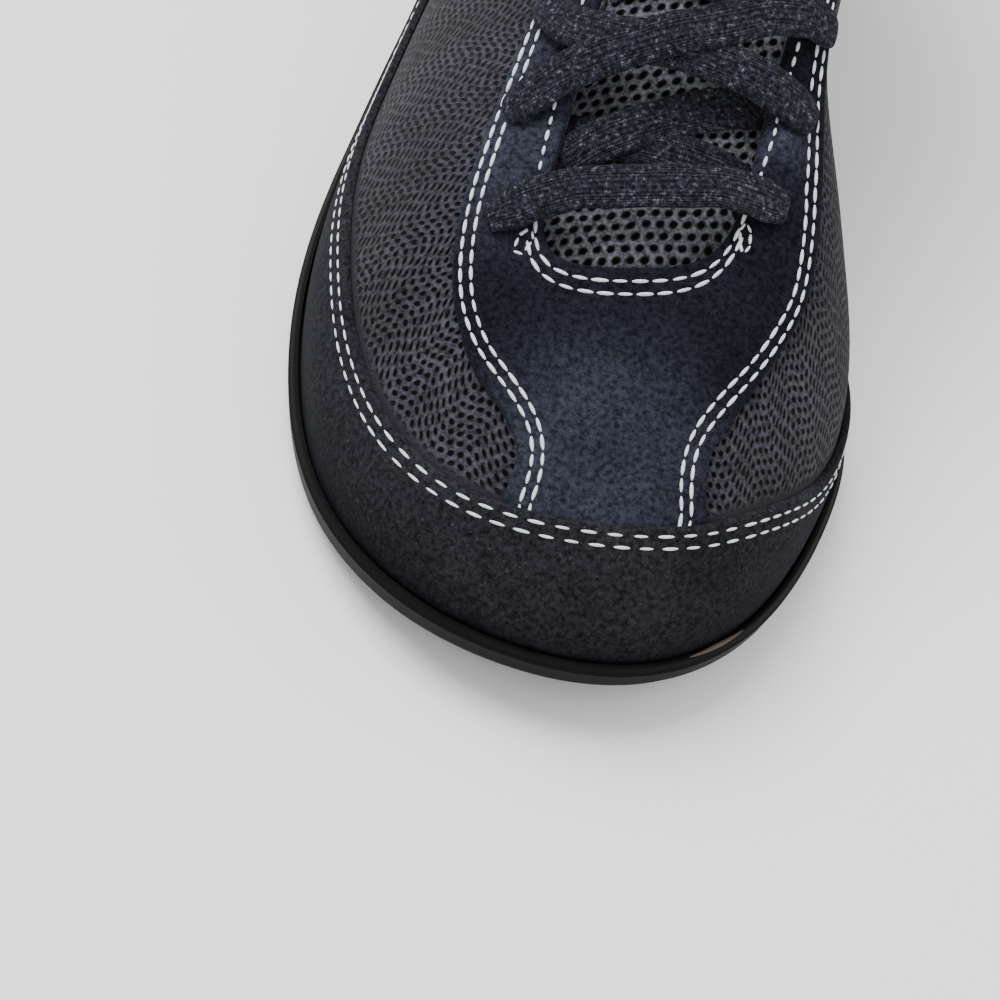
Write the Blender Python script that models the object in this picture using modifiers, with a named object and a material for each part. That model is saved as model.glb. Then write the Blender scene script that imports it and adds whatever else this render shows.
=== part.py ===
"""A right wrestling shoe: a thin rubber sole, a hollow mesh upper and the suede pieces sewn onto it.

The toe points along -Y and the inner (big toe) side of the foot is +X. Every piece of the upper is read
from one surface, which runs from the feather edge, where the upper meets the sole, up ribs to the topline
of throat and collar. A place on it is (t, h): t goes round the shoe from the toe over the outer side, the
heel and the inner side, and h goes from 0 at the feather edge to 1 at the topline. All sizes in metres.
"""
import math

import bmesh
import bpy
import numpy as np
from mathutils import Matrix, Vector

# The last, measured at the feather edge
FOOT_LENGTH = 0.272
BALL_WIDTH = 0.094
INSTEP_HEIGHT = 0.086
COLLAR_HEIGHT = 0.140
WALL_RISE = 0.030
SIDE_BULGE = 0.0040
THROAT_WIDTH = 0.034
COLLAR_WIDTH = 0.068

# The sole
FOREFOOT_THICKNESS = 0.0045
HEEL_THICKNESS = 0.0070
TOE_SPRING = 0.0080
ARCH_RISE = 0.0022
HEEL_ROLL = 0.0022
RIM_THICKNESS = 0.0016
RIM_SIDE_RISE = 0.0045
RIM_TOE_RISE = 0.0055
RIM_RIDGE = 0.0004
RIM_TAPER = 0.0003
EDGE_CHAMFER = 0.0018
GROOVE_WIDTH = 0.0018
GROOVE_DEPTH = 0.0012
GROOVE_PITCH = 0.0120
FOREFOOT_GROOVES = 4
HEEL_GROOVES = 3

# Sheets and their clearance
WALL = 0.0018
SUEDE = 0.0012
TONGUE_THICKNESS = 0.0034
TONGUE_CROWN = 0.0032
INSOLE_THICKNESS = 0.0030
CLEARANCE = 0.0003
FACET_CLEARANCE = 0.0006
SEAT_CLEARANCE = 0.0005
SEAM_CLEARANCE = 0.0012
TONGUE_LAP = 0.0100
TONGUE_ABOVE_COLLAR = 0.0180
INSOLE_INSET = 0.0030

# Overlays, measured along the ribs or across the front
RAND_HEIGHT = 0.0335
EYESTAY_WIDTH = 0.0165
CUFF_HEIGHT = 0.0150

# Laces
EYELET_PAIRS = 7
FIRST_EYELET = 0.0150
LAST_EYELET = 0.0300
EYELET_INSET = 0.0110
EYELET_RADIUS = 0.0020
EYELET_SWEEP_RIBS = 0.2
LACE_WIDTH = 0.0075
LACE_THICKNESS = 0.0013
LACE_STEP = 0.0008
LACE_SEAT = 0.0008
LACE_ROUNDING = 0.6
LACE_WRAP = 0.0022
LACE_SAG_RIBS = 0.3

# Ribs at which the rand ends at the counter, and the eyestays at the cuff
RAND_END = 6.5
EYESTAY_END = 8.5
TONGUE_END = 23.0 / 3.0
SEAM_GAP_RIBS = 0.03

# Where the first flex grooves lie, as shares of the foot's length from the heel
FOREFOOT_GROOVE_AT = 0.630
HEEL_GROOVE_AT = 0.100

RIBS_PER_ROW = 3
BAND_STEP = 1.0 / 3.0
CUTTER_REACH = 0.0015
PAST_EDGE_SHARE = 0.03
UPPER_ROWS = 12

# One row for each rib from the toe back to the heel: where it starts at the feather edge.
# Lengths are shares of FOOT_LENGTH from the heel, widths shares of BALL_WIDTH from the middle line.
FEATHER = [
    # outer side        inner side
    # (along, out)      (along, in)
    ((0.991, 0.070), (0.991, 0.070)),
    ((0.969, -0.190), (0.967, 0.275)),
    ((0.896, -0.395), (0.908, 0.420)),
    ((0.785, -0.490), (0.822, 0.515)),
    ((0.670, -0.495), (0.725, 0.521)),
    ((0.545, -0.440), (0.610, 0.372)),
    ((0.430, -0.380), (0.490, 0.322)),
    ((0.330, -0.350), (0.375, 0.345)),
    ((0.235, -0.345), (0.265, 0.352)),
    ((0.135, -0.330), (0.145, 0.335)),
    ((0.035, -0.215), (0.035, 0.210)),
    ((0.000, 0.000), (0.000, 0.000)),
]

# The same ribs at the topline. across: share of THROAT_WIDTH in the throat and of COLLAR_WIDTH round the
# collar. rise: share of INSTEP_HEIGHT, then of what the collar stands above it.
TOPLINE = [
    # (along, throat across, collar across, instep rise, collar rise)
    (0.778, 0.00, 0.00, 0.552, 0.00),
    (0.773, 0.30, 0.00, 0.550, 0.00),
    (0.749, 0.47, 0.00, 0.570, 0.00),
    (0.700, 0.50, 0.00, 0.640, 0.00),
    (0.645, 0.50, 0.00, 0.730, 0.00),
    (0.588, 0.50, 0.00, 0.835, 0.00),
    (0.532, 0.51, 0.00, 0.955, 0.00),
    (0.482, 0.53, 0.00, 1.000, 0.36),
    (0.446, 0.56, 0.02, 1.000, 0.90),
    (0.330, 0.05, 0.46, 1.000, 1.00),
    (0.120, 0.00, 0.46, 1.000, 0.98),
    (0.030, 0.00, 0.00, 1.000, 1.04),
]

# How each rib leaves the feather edge and reaches the topline.
# bulge: share of SIDE_BULGE outwards. wall: share of WALL_RISE upwards. reach and drop: shares of
# INSTEP_HEIGHT, outwards and down from the topline. lean: the throat's shift to the inner side, a share
# of BALL_WIDTH. tilt: how far the inner side stands above the middle and the outer side below it, a share
# of INSTEP_HEIGHT. skew: how far the outer side lies toward the toe and the inner side away from it.
RIB_FORM = [
    # (bulge, wall, reach, drop, lean, tilt, skew)
    (0.80, 0.86, 0.36, 0.125, 0.048, 0.000, 0.000),
    (0.90, 0.86, 0.32, 0.110, 0.048, 0.020, 0.006),
    (1.00, 0.88, 0.24, 0.080, 0.048, 0.034, 0.011),
    (1.10, 0.92, 0.22, 0.080, 0.056, 0.040, 0.014),
    (1.00, 1.00, 0.21, 0.095, 0.068, 0.044, 0.014),
    (0.80, 1.15, 0.20, 0.125, 0.080, 0.044, 0.013),
    (0.80, 1.35, 0.17, 0.180, 0.082, 0.036, 0.011),
    (0.90, 1.50, 0.13, 0.270, 0.068, 0.022, 0.007),
    (1.20, 1.60, 0.08, 0.400, 0.044, 0.008, 0.003),
    (1.60, 1.60, 0.02, 0.480, 0.020, 0.000, 0.000),
    (2.00, 1.45, -0.04, 0.480, 0.006, 0.000, 0.000),
    (1.90, 1.40, -0.10, 0.480, 0.000, 0.000, 0.000),
]

# Upper edge of the rand and the counter at each rib, up from the feather edge, as shares of RAND_HEIGHT.
RAND_EDGE = [
    # (outer side, inner side)
    (1.00, 1.00),
    (0.90, 0.97),
    (0.80, 0.77),
    (0.74, 0.49),
    (0.60, 0.39),
    (0.48, 0.36),
    (0.44, 0.36),
    (0.50, 0.46),
    (0.85, 0.82),
    (1.20, 1.18),
    (1.36, 1.36),
    (1.40, 1.40),
]

# Outer edge of the vamp piece. Each row: the rib it starts from at the throat, the rib it ends on, and how
# far down from the topline it ends, as a share of EYESTAY_WIDTH. None is as far as the rand.
VAMP_EDGE_OUTER = [
    # (rib at the throat, rib at the edge, reach)
    (0.00, 0.00, None),
    (0.25, 0.36, None),
    (0.45, 0.70, None),
    (0.66, 0.74, 2.05),
    (0.95, 0.86, 1.72),
    (1.25, 1.20, 1.50),
    (1.70, 1.70, 1.41),
    (2.30, 2.30, 1.34),
    (3.00, 3.00, 1.22),
    (3.60, 3.60, 1.10),
    (4.50, 4.50, 1.00),
    (6.00, 6.00, 0.95),
]
VAMP_EDGE_INNER = [
    (0.00, 0.00, None),
    (0.30, 0.48, None),
    (0.60, 0.95, None),
    (0.82, 1.01, 2.12),
    (1.08, 1.14, 1.84),
    (1.45, 1.50, 1.70),
    (1.90, 1.90, 1.70),
    (2.40, 2.40, 1.76),
    (2.85, 2.85, 1.80),
    (3.25, 3.25, 1.66),
    (3.60, 3.60, 1.46),
    (4.00, 4.00, 1.24),
    (4.50, 4.50, 1.06),
    (6.00, 6.00, 0.95),
]

LAST_ROW = len(FEATHER) - 1
LOOP = 2 * LAST_ROW


def closed_spline(rows):
    """A smooth closed curve through rows, as a function of the row number."""
    rows = np.array(rows, float)
    count = len(rows)
    weights = 4.0 * np.eye(count) + np.roll(np.eye(count), 1, 0) + np.roll(np.eye(count), -1, 0)
    slopes = np.linalg.solve(weights, 3.0 * (np.roll(rows, -1, 0) - np.roll(rows, 1, 0)))

    def at(t):
        t = np.asarray(t, float) % count
        low = np.floor(t).astype(int) % count
        high = (low + 1) % count
        f = (t - np.floor(t))[..., None]
        return (
            (2 * f**3 - 3 * f**2 + 1) * rows[low]
            + (f**3 - 2 * f**2 + f) * slopes[low]
            + (3 * f**2 - 2 * f**3) * rows[high]
            + (f**3 - f**2) * slopes[high]
        )

    return at


def round_the_shoe(outer, inner):
    """The rows of the outer side from toe to heel, then those of the inner side back to the toe."""
    return [outer(k) for k in range(LAST_ROW + 1)] + [inner(k) for k in range(LAST_ROW - 1, 0, -1)]


def smooth_step(low, high, value):
    f = np.clip((np.asarray(value, float) - low) / (high - low), 0.0, 1.0)
    return f * f * (3.0 - 2.0 * f)


def tread_height(along):
    """Height of the sole's underside: flat under forefoot and heel, raised at toe, arch and heel edge."""
    spring = TOE_SPRING * np.clip((along - 0.80) / 0.20, 0.0, 1.0) ** 1.8
    arch = ARCH_RISE * smooth_step(0.32, 0.42, along) * (1.0 - smooth_step(0.50, 0.60, along))
    roll = HEEL_ROLL * np.clip((0.06 - along) / 0.06, 0.0, 1.0) ** 2
    return spring + arch + roll


def feather_height(along):
    """Height of the feather edge: the underside plus the sole's thickness."""
    thickness = HEEL_THICKNESS + (FOREFOOT_THICKNESS - HEEL_THICKNESS) * smooth_step(0.25, 0.60, along)
    return tread_height(along) + thickness


def plan(along, across):
    """A place on the plan, with the toe along -Y."""
    return (across, (0.5 - along) * FOOT_LENGTH)


def feather_row(side, k):
    along, across = FEATHER[k][side]
    return plan(along, across * BALL_WIDTH)


def topline_row(sign, k):
    along, throat, collar, instep, above = TOPLINE[k]
    lean, tilt, skew = RIB_FORM[k][4:]
    across = sign * (throat * THROAT_WIDTH + collar * COLLAR_WIDTH) + lean * BALL_WIDTH
    height = (instep + sign * tilt) * INSTEP_HEIGHT + above * (COLLAR_HEIGHT - INSTEP_HEIGHT)
    return (*plan(along - sign * skew, across), height)


feather_curve = closed_spline(round_the_shoe(lambda k: feather_row(0, k), lambda k: feather_row(1, k)))
topline_curve = closed_spline(round_the_shoe(lambda k: topline_row(-1, k), lambda k: topline_row(1, k)))
form_curve = closed_spline(round_the_shoe(lambda k: RIB_FORM[k][:4], lambda k: RIB_FORM[k][:4]))


def along_of(y):
    return 0.5 - y / FOOT_LENGTH


def feather_point(t):
    """The feather edge in space, and its outward direction on the plan."""
    step = 1e-3
    flat = feather_curve(t)
    tangent = feather_curve(np.asarray(t) + step) - feather_curve(np.asarray(t) - step)
    outward = np.stack([tangent[..., 1], -tangent[..., 0], np.zeros_like(tangent[..., 0])], -1)
    outward /= np.linalg.norm(outward, axis=-1, keepdims=True)
    height = feather_height(along_of(flat[..., 1]))
    return np.concatenate([flat, height[..., None]], -1), outward * OUTWARD_SIGN


OUTWARD_SIGN = 1.0
middle_outside = feather_curve(np.array([LAST_ROW / 2.0]))[0]
if feather_point(np.array([LAST_ROW / 2.0]))[1][0][0] * middle_outside[0] < 0:
    OUTWARD_SIGN = -1.0


def surface(t, h):
    """The outer face of the upper at (t, h): a curve from the feather edge to the topline."""
    t, h = np.broadcast_arrays(np.asarray(t, float), np.asarray(h, float))
    foot, outward = feather_point(t)
    top = topline_curve(t)
    bulge, wall, reach, drop = np.moveaxis(form_curve(t), -1, 0)[..., None]
    up = np.array([0.0, 0.0, 1.0])
    away = foot - top
    away[..., 2] = 0.0
    away /= np.linalg.norm(away, axis=-1, keepdims=True)
    low = foot + outward * bulge * SIDE_BULGE + up * wall * WALL_RISE
    high = top + away * reach * INSTEP_HEIGHT - up * drop * INSTEP_HEIGHT
    f = h[..., None]
    return (1 - f) ** 3 * foot + 3 * f * (1 - f) ** 2 * low + 3 * f**2 * (1 - f) * high + f**3 * top


def normals(t, h):
    """Unit directions out of the upper's surface."""
    t, h = np.broadcast_arrays(np.asarray(t, float), np.asarray(h, float))
    step = 1e-3
    h = np.clip(h, step, 1.0 - step)
    low, high = h - step, h + step
    turned = np.cross(surface(t + step, h) - surface(t - step, h), surface(t, high) - surface(t, low))
    turned /= np.linalg.norm(turned, axis=-1, keepdims=True)
    return turned * OUTWARD_SIGN


def skin(t, h, lift=0.0):
    """A place lift outside the upper's outer face."""
    return surface(t, h) + normals(t, h) * lift


def rib_lengths():
    """Length of the rib at each t of a fine table, for widths that are measured along the ribs."""
    ts = np.linspace(0.0, LOOP, 8 * LOOP + 1)
    hs = np.linspace(0.0, 1.0, 25)
    points = surface(ts[:, None], hs[None, :])
    return ts, np.linalg.norm(np.diff(points, axis=1), axis=-1).sum(1)


RIB_TABLE = rib_lengths()


def share_of_rib(t, distance):
    """The part of a rib's length that a distance along it takes."""
    return distance / np.interp(np.asarray(t) % LOOP, *RIB_TABLE)


def from_toe(t):
    """How many rows t lies behind the toe, on either side."""
    t = np.asarray(t, float) % LOOP
    return np.minimum(t, LOOP - t)


rand_curve = closed_spline(round_the_shoe(lambda k: RAND_EDGE[k][:1], lambda k: RAND_EDGE[k][1:]))


def rand_top(t):
    """Upper edge of the rand and the counter: highest over the toe, low along the sides, high at the heel."""
    return share_of_rib(t, rand_curve(t)[..., 0] * RAND_HEIGHT)


def smooth_table(rows, count):
    """A table's rows as a smooth curve of count steps between neighbours, evenly from row to row."""
    rows = np.array(rows, float)
    padded = np.concatenate([2 * rows[:1] - rows[1:2], rows, 2 * rows[-1:] - rows[-2:-1]])
    out = []
    for a, b, c, d in zip(padded[:-3], padded[1:-2], padded[2:-1], padded[3:]):
        for f in np.arange(count) / count:
            bend = (2 * b + (c - a) * f + (2 * a - 5 * b + 4 * c - d) * f**2 + (3 * b - a - 3 * c + d) * f**3)
            out.append(bend / 2)
    return np.array(out + [rows[-1]])


def vamp_side(table, sign):
    """One side of the vamp piece: its places at the throat and at its outer edge."""
    rows = []
    for start, end, reach in table:
        t = np.array(sign * end)
        low = 1.0 - share_of_rib(t, (reach or 0.0) * EYESTAY_WIDTH)
        if reach is None:
            low = rand_top(t) + share_of_rib(t, SEAM_CLEARANCE)
        rows.append((sign * start, sign * end, float(low)))
    smooth = smooth_table(rows, 2)
    for t in np.arange(6.0, EYESTAY_END, 0.34)[1:].tolist() + [EYESTAY_END]:
        low = 1.0 - share_of_rib(np.array(sign * t), table[-1][2] * EYESTAY_WIDTH)
        smooth = np.concatenate([smooth, [[sign * t, sign * t, float(low)]]])
    return smooth


def vamp_outline():
    """The vamp piece from the inner collar corner round the throat to the outer one."""
    inner, outer = vamp_side(VAMP_EDGE_INNER, -1.0), vamp_side(VAMP_EDGE_OUTER, 1.0)
    both = np.concatenate([inner[:0:-1], outer])
    return both[:, 0], both[:, 1], both[:, 2]


def material(name, colour, roughness):
    """A plain finish for one piece."""
    made = bpy.data.materials.new(name)
    made.use_nodes = True
    shader = made.node_tree.nodes["Principled BSDF"]
    shader.inputs["Base Color"].default_value = (*colour, 1.0)
    shader.inputs["Roughness"].default_value = roughness
    return made


def add_object(name, mesh, finish, collection):
    made = bpy.data.objects.new(name, mesh)
    collection.objects.link(made)
    if finish is not None:
        mesh.materials.append(finish)
    return made


def sheet_mesh(name, grid, closed=False):
    """A sheet of quads through a grid of points, closed from its last column to its first if asked."""
    grid = np.asarray(grid, float)
    columns, rows = grid.shape[:2]
    work = bmesh.new()
    corners = [[work.verts.new(point) for point in column] for column in grid]
    for i in range(columns if closed else columns - 1):
        here, there = corners[i], corners[(i + 1) % columns]
        for j in range(rows - 1):
            work.faces.new((here[j], there[j], there[j + 1], here[j + 1]))
    bmesh.ops.remove_doubles(work, verts=work.verts, dist=1e-6)
    bmesh.ops.recalc_face_normals(work, faces=work.faces)
    mesh = bpy.data.meshes.new(name)
    work.to_mesh(mesh)
    work.free()
    mesh.shade_smooth()
    return mesh


def turn_outwards(mesh, place, outward):
    """Turns the sheet round if the face nearest to place looks away from outward."""
    nearest = min(mesh.polygons, key=lambda face: (face.center - Vector(place)).length)
    if nearest.normal.dot(Vector(outward)) < 0:
        mesh.flip_normals()
    return mesh


def thicken(made, thickness, side):
    """Gives a sheet its thickness: side is 1 for outwards and -1 for inwards."""
    solid = made.modifiers.new("thickness", "SOLIDIFY")
    solid.thickness = thickness
    solid.offset = side
    solid.use_even_offset = True
    return made


def make_upper(collection, cutter):
    ts = np.arange(LOOP * RIBS_PER_ROW) / RIBS_PER_ROW
    hs = np.linspace(0.0, 1.0, UPPER_ROWS)
    mesh = sheet_mesh("upper", skin(ts[:, None], hs[None, :]), closed=True)
    side = np.array([LAST_ROW / 2.0]), np.array([0.4])
    turn_outwards(mesh, surface(*side)[0], normals(*side)[0])
    made = add_object("upper", mesh, material("mesh_cloth", (0.040, 0.038, 0.045), 0.85), collection)
    thicken(made, WALL, -1)
    punch(made, cutter)
    return made


def make_patch_cutter(name, top, bottom, collection):
    """A closed block round a patch of the upper, between two edges given as rows of (t, h)."""
    grid = []
    for (t_top, h_top), (t_low, h_low) in zip(top, bottom):
        ts = np.linspace(t_low, t_top, 4)
        hs = np.linspace(h_low, h_top, 4)
        under, over = skin(ts, hs, -CUTTER_REACH), skin(ts, hs, 2 * CUTTER_REACH)
        ring = np.concatenate([under, over[::-1], under[:1]])
        grid.append(ring)
    work = bmesh.new()
    corners = [[work.verts.new(point) for point in ring[:-1]] for ring in grid]
    for here, there in zip(corners[:-1], corners[1:]):
        for j in range(len(here)):
            k = (j + 1) % len(here)
            work.faces.new((here[j], there[j], there[k], here[k]))
    work.faces.new(corners[0][::-1])
    work.faces.new(corners[-1])
    bmesh.ops.recalc_face_normals(work, faces=work.faces)
    mesh = bpy.data.meshes.new(name)
    work.to_mesh(mesh)
    work.free()
    made = add_object(name, mesh, None, collection)
    hide_cutter(made)
    return made


def make_overlay(name, first, last, cutter, finish, collection):
    """A suede piece: the part of a shell round the upper, on the upper's own grid, that the cutter holds."""
    step = 1.0 / RIBS_PER_ROW
    ts = np.arange(math.floor(first / step) - 1, math.ceil(last / step) + 2) * step
    hs = np.linspace(0.0, 1.0, UPPER_ROWS)
    mesh = sheet_mesh(name, skin(ts[:, None], hs[None, :], CLEARANCE))
    middle = ts[len(ts) // 3 : len(ts) // 3 + 1], hs[UPPER_ROWS // 2 : UPPER_ROWS // 2 + 1]
    turn_outwards(mesh, surface(*middle)[0], normals(*middle)[0])
    made = thicken(add_object(name, mesh, finish, collection), SUEDE, 1)
    trim = made.modifiers.new("outline", "BOOLEAN")
    trim.operation = "INTERSECT"
    trim.object = cutter
    return made


def band(first, last, low, high):
    """The two edges of a band round the shoe, for a cutter."""
    ts = np.arange(math.floor(first / BAND_STEP) + 1, math.ceil(last / BAND_STEP)) * BAND_STEP
    ts = np.concatenate([[first], ts[(ts > first + 0.05) & (ts < last - 0.05)], [last]])
    return list(zip(ts, high(ts))), list(zip(ts, low(ts)))


def punch(made, cutter):
    """Cuts the eyelet holes."""
    cut = made.modifiers.new("eyelets", "BOOLEAN")
    cut.operation = "DIFFERENCE"
    cut.object = cutter


def throat_rows(side=1):
    """Ribs where the laces cross the throat's edge on the outer side (1) or the inner side (-1)."""
    ts = np.linspace(1.5, EYESTAY_END, 400)
    edge = topline_curve(side * ts)
    run = np.concatenate([[0.0], np.cumsum(np.linalg.norm(np.diff(edge, axis=0), axis=1))])
    places = np.linspace(FIRST_EYELET, run[-1] - LAST_EYELET, EYELET_PAIRS)
    return [side * float(t) for t in np.interp(places, run, ts)]


def eyelet_place(crossing, lift=0.0):
    """Middle of the eyelet whose lace crosses the throat's edge at a rib, and the outward direction there.

    The ribs run askew of the throat, so the eyelet that is square to the crossing lies on another rib.
    """
    t = crossing - EYELET_SWEEP_RIBS
    h = 1.0 - share_of_rib(t, EYELET_INSET)
    return skin(np.array([t]), np.array([h]), lift)[0], normals(np.array([t]), np.array([h]))[0]


def make_eyelet_cutter(collection):
    """One cutter with a short pin through each eyelet."""
    work = bmesh.new()
    depth = 4.0 * (WALL + SUEDE)
    for t in throat_rows() + throat_rows(-1):
        place, outward = eyelet_place(t)
        turn = Vector(outward).to_track_quat("Z", "Y").to_matrix().to_4x4()
        bmesh.ops.create_cone(
            work,
            cap_ends=True,
            segments=8,
            radius1=EYELET_RADIUS,
            radius2=EYELET_RADIUS,
            depth=depth,
            matrix=Matrix.Translation(place) @ turn,
        )
    mesh = bpy.data.meshes.new("eyelet_cutter")
    work.to_mesh(mesh)
    work.free()
    made = add_object("eyelet_cutter", mesh, None, collection)
    hide_cutter(made)
    return made


def hide_cutter(made):
    made.hide_render = True
    made.display_type = "WIRE"


def make_rand(collection, cutters):
    """The suede rand round the toe and along both sides."""
    edges = band(-RAND_END, RAND_END, lambda ts: np.full(len(ts), -PAST_EDGE_SHARE), rand_top)
    cutter = make_patch_cutter("rand_cutter", *edges, cutters)
    finish = material("rand_suede", (0.022, 0.022, 0.026), 0.95)
    return make_overlay("toe_rand", -RAND_END, RAND_END, cutter, finish, collection)


def make_counter(collection, cutters):
    """The suede counter round the heel, rising from the rand's ends."""
    first, last = RAND_END + SEAM_GAP_RIBS, LOOP - RAND_END - SEAM_GAP_RIBS
    edges = band(first, last, lambda ts: np.full(len(ts), -PAST_EDGE_SHARE), rand_top)
    cutter = make_patch_cutter("counter_cutter", *edges, cutters)
    finish = material("counter_suede", (0.022, 0.022, 0.026), 0.95)
    return make_overlay("heel_counter", first, last, cutter, finish, collection)


def make_eyestay(collection, cutters, eyelets):
    """The vamp piece with both eyestays: one piece of suede round the throat, bridged to the rand."""
    starts, ends, low = vamp_outline()
    top = [(t, 1.0 + PAST_EDGE_SHARE) for t in starts]
    cutter = make_patch_cutter("vamp_cutter", top, list(zip(ends, low)), cutters)
    finish = material("eyestay_suede", (0.018, 0.021, 0.032), 0.9)
    made = make_overlay("eyestay", -EYESTAY_END, EYESTAY_END, cutter, finish, collection)
    punch(made, eyelets)
    return made


def make_cuff(collection, cutters):
    """The suede cuff round the back of the collar."""
    first, last = EYESTAY_END + SEAM_GAP_RIBS, LOOP - EYESTAY_END - SEAM_GAP_RIBS

    def low(ts):
        return 1.0 - share_of_rib(ts, CUFF_HEIGHT)

    def high(ts):
        return np.full(len(ts), 1.0 + PAST_EDGE_SHARE)

    cutter = make_patch_cutter("cuff_cutter", *band(first, last, low, high), cutters)
    finish = material("cuff_suede", (0.018, 0.021, 0.032), 0.9)
    return make_overlay("collar_cuff", first, last, cutter, finish, collection)


def throat_up(t):
    """The direction out of the throat at rib t, square to its width and to its run."""
    step = 0.05
    across = topline_curve(np.array(LOOP - t)) - topline_curve(np.array(t))
    if np.linalg.norm(across) < 0.2 * THROAT_WIDTH:
        across = np.array([1.0, 0.0, 0.0])
    ahead = max(t, step)
    nearer, further = (
        topline_curve(np.array(ahead + d)) + topline_curve(np.array(LOOP - ahead - d)) for d in (-step, step)
    )
    up = np.cross(across, further - nearer)
    return up / np.linalg.norm(up)


def make_tongue(collection):
    """The padded mesh tongue under the throat, standing a little above the collar."""
    depth = -(WALL + FACET_CLEARANCE)
    columns = []
    for t in np.arange(0.0, TONGUE_END + 0.01, 1.0 / RIBS_PER_ROW):
        inside = np.array([1.0 - share_of_rib(t, TONGUE_LAP), 1.0 - share_of_rib(t, 0.5 * TONGUE_LAP), 1.0])
        outer = skin(np.full(3, t), inside, depth)
        inner = skin(np.full(3, LOOP - t), inside, depth)[::-1]
        wide = min(1.0, np.linalg.norm(inner[0] - outer[2]) / THROAT_WIDTH)
        middle = [
            outer[2] + (inner[0] - outer[2]) * f + throat_up(t) * TONGUE_CROWN * wide * 4 * f * (1 - f)
            for f in (0.25, 0.5, 0.75)
        ]
        columns.append(np.concatenate([outer, middle, inner]))
    run = (columns[-1] - columns[-2]).mean(0)
    run /= np.linalg.norm(run)
    climb = (COLLAR_HEIGHT - columns[-1][:, 2].max() + TONGUE_ABOVE_COLLAR) / max(run[2], 0.3)
    base = columns[-1]
    for f in (0.33, 0.66, 1.0):
        columns.append(base + run * climb * f)
    mesh = sheet_mesh("tongue", np.array(columns))
    turn_outwards(mesh, columns[8][4], throat_up(8.0 / RIBS_PER_ROW))
    made = add_object("tongue", mesh, material("tongue_mesh", (0.025, 0.025, 0.027), 0.9), collection)
    return thicken(made, TONGUE_THICKNESS, -1)


def flat_outline(t, inset):
    """A place inside the feather edge on the plan."""
    foot, outward = feather_point(t)
    return foot - outward * inset


def side_pairs():
    """Column numbers from toe to heel, on the outer and the inner side."""
    ts = np.arange(LAST_ROW * RIBS_PER_ROW + 1) / RIBS_PER_ROW
    return ts, (LOOP - ts) % LOOP


def bed(outer, inner, lift, shares):
    """A bed from the outer edge to the inner edge that follows the feather height, lift above it."""
    points = outer[:, None, :] + (inner - outer)[:, None, :] * np.array(shares)[None, :, None]
    points[..., 2] = feather_height(along_of(points[..., 1])) + lift
    return points


def make_insole(collection):
    ts, mirrored = side_pairs()
    shares = (0.0, 0.3, 0.5, 0.7, 1.0)
    outer, inner = flat_outline(ts, WALL + INSOLE_INSET), flat_outline(mirrored, WALL + INSOLE_INSET)
    mesh = sheet_mesh("insole", bed(outer, inner, INSOLE_THICKNESS, shares))
    turn_outwards(mesh, mesh.polygons[len(mesh.polygons) // 2].center, (0.0, 0.0, 1.0))
    made = add_object("insole", mesh, material("insole_cloth", (0.030, 0.030, 0.032), 0.9), collection)
    return thicken(made, INSOLE_THICKNESS, -1)


def rim_rise(t):
    return RIM_SIDE_RISE + (RIM_TOE_RISE - RIM_SIDE_RISE) * (1 - smooth_step(1.0, 3.0, from_toe(t)))


def sole_section(t):
    """The sole's side at t, from the edge of the tread over the rim to the edge of the footbed."""
    inside = CLEARANCE + SUEDE + FACET_CLEARANCE
    outside = inside + RIM_THICKNESS
    foot, outward = feather_point(t)
    tread = foot + outward * (outside - EDGE_CHAMFER)
    tread[..., 2] = tread_height(along_of(tread[..., 1]))
    low = foot + outward * outside
    low[..., 2] = tread_height(along_of(low[..., 1])) + EDGE_CHAMFER
    rise = share_of_rib(t, rim_rise(t))
    seat = skin(t, np.zeros_like(t), inside)
    seat[..., 2] = foot[..., 2] - SEAT_CLEARANCE
    ridge = skin(t, 0.55 * rise, outside + RIM_RIDGE)
    top_outside, top_inside = skin(t, rise, outside - RIM_TAPER), skin(t, rise, inside)
    inner_wall = skin(t, 0.5 * rise, inside)
    return np.stack([tread, low, ridge, top_outside, top_inside, inner_wall, seat], 1)


def make_outsole(collection, cutter):
    ts, mirrored = side_pairs()
    outer, inner = sole_section(ts), sole_section(mirrored)
    between = np.array([0.25, 0.5, 0.75])[None, :, None]
    under = outer[:, 0, None, :] + (inner[:, 0] - outer[:, 0])[:, None, :] * between
    under[..., 2] = tread_height(along_of(under[..., 1]))
    footbed = bed(outer[:, -1], inner[:, -1], -SEAT_CLEARANCE, (0.25, 0.5, 0.75))
    loop = np.concatenate([outer, footbed, inner[:, ::-1], under[:, ::-1]], 1)
    loop = np.concatenate([loop, loop[:, :1]], 1)
    work = bmesh.new()
    corners = [[work.verts.new(point) for point in column] for column in loop]
    for here, there in zip(corners[:-1], corners[1:]):
        for j in range(loop.shape[1] - 1):
            work.faces.new((here[j], there[j], there[j + 1], here[j + 1]))
    bmesh.ops.remove_doubles(work, verts=work.verts, dist=1e-6)
    bmesh.ops.dissolve_degenerate(work, edges=work.edges, dist=1e-7)
    bmesh.ops.recalc_face_normals(work, faces=work.faces)
    mesh = bpy.data.meshes.new("outsole")
    work.to_mesh(mesh)
    work.free()
    mesh.shade_smooth()
    mesh.set_sharp_from_angle(angle=math.radians(40))
    made = add_object("outsole", mesh, material("black_rubber", (0.012, 0.011, 0.011), 0.55), collection)
    cut = made.modifiers.new("grooves", "BOOLEAN")
    cut.operation = "DIFFERENCE"
    cut.object = cutter
    return made


def groove_places():
    """Flex grooves across the forefoot and the heel, as shares of the length."""
    pitch = GROOVE_PITCH / FOOT_LENGTH
    forefoot = [FOREFOOT_GROOVE_AT + pitch * k for k in range(FOREFOOT_GROOVES)]
    heel = [HEEL_GROOVE_AT + pitch * k for k in range(HEEL_GROOVES)]
    return forefoot + heel


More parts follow.
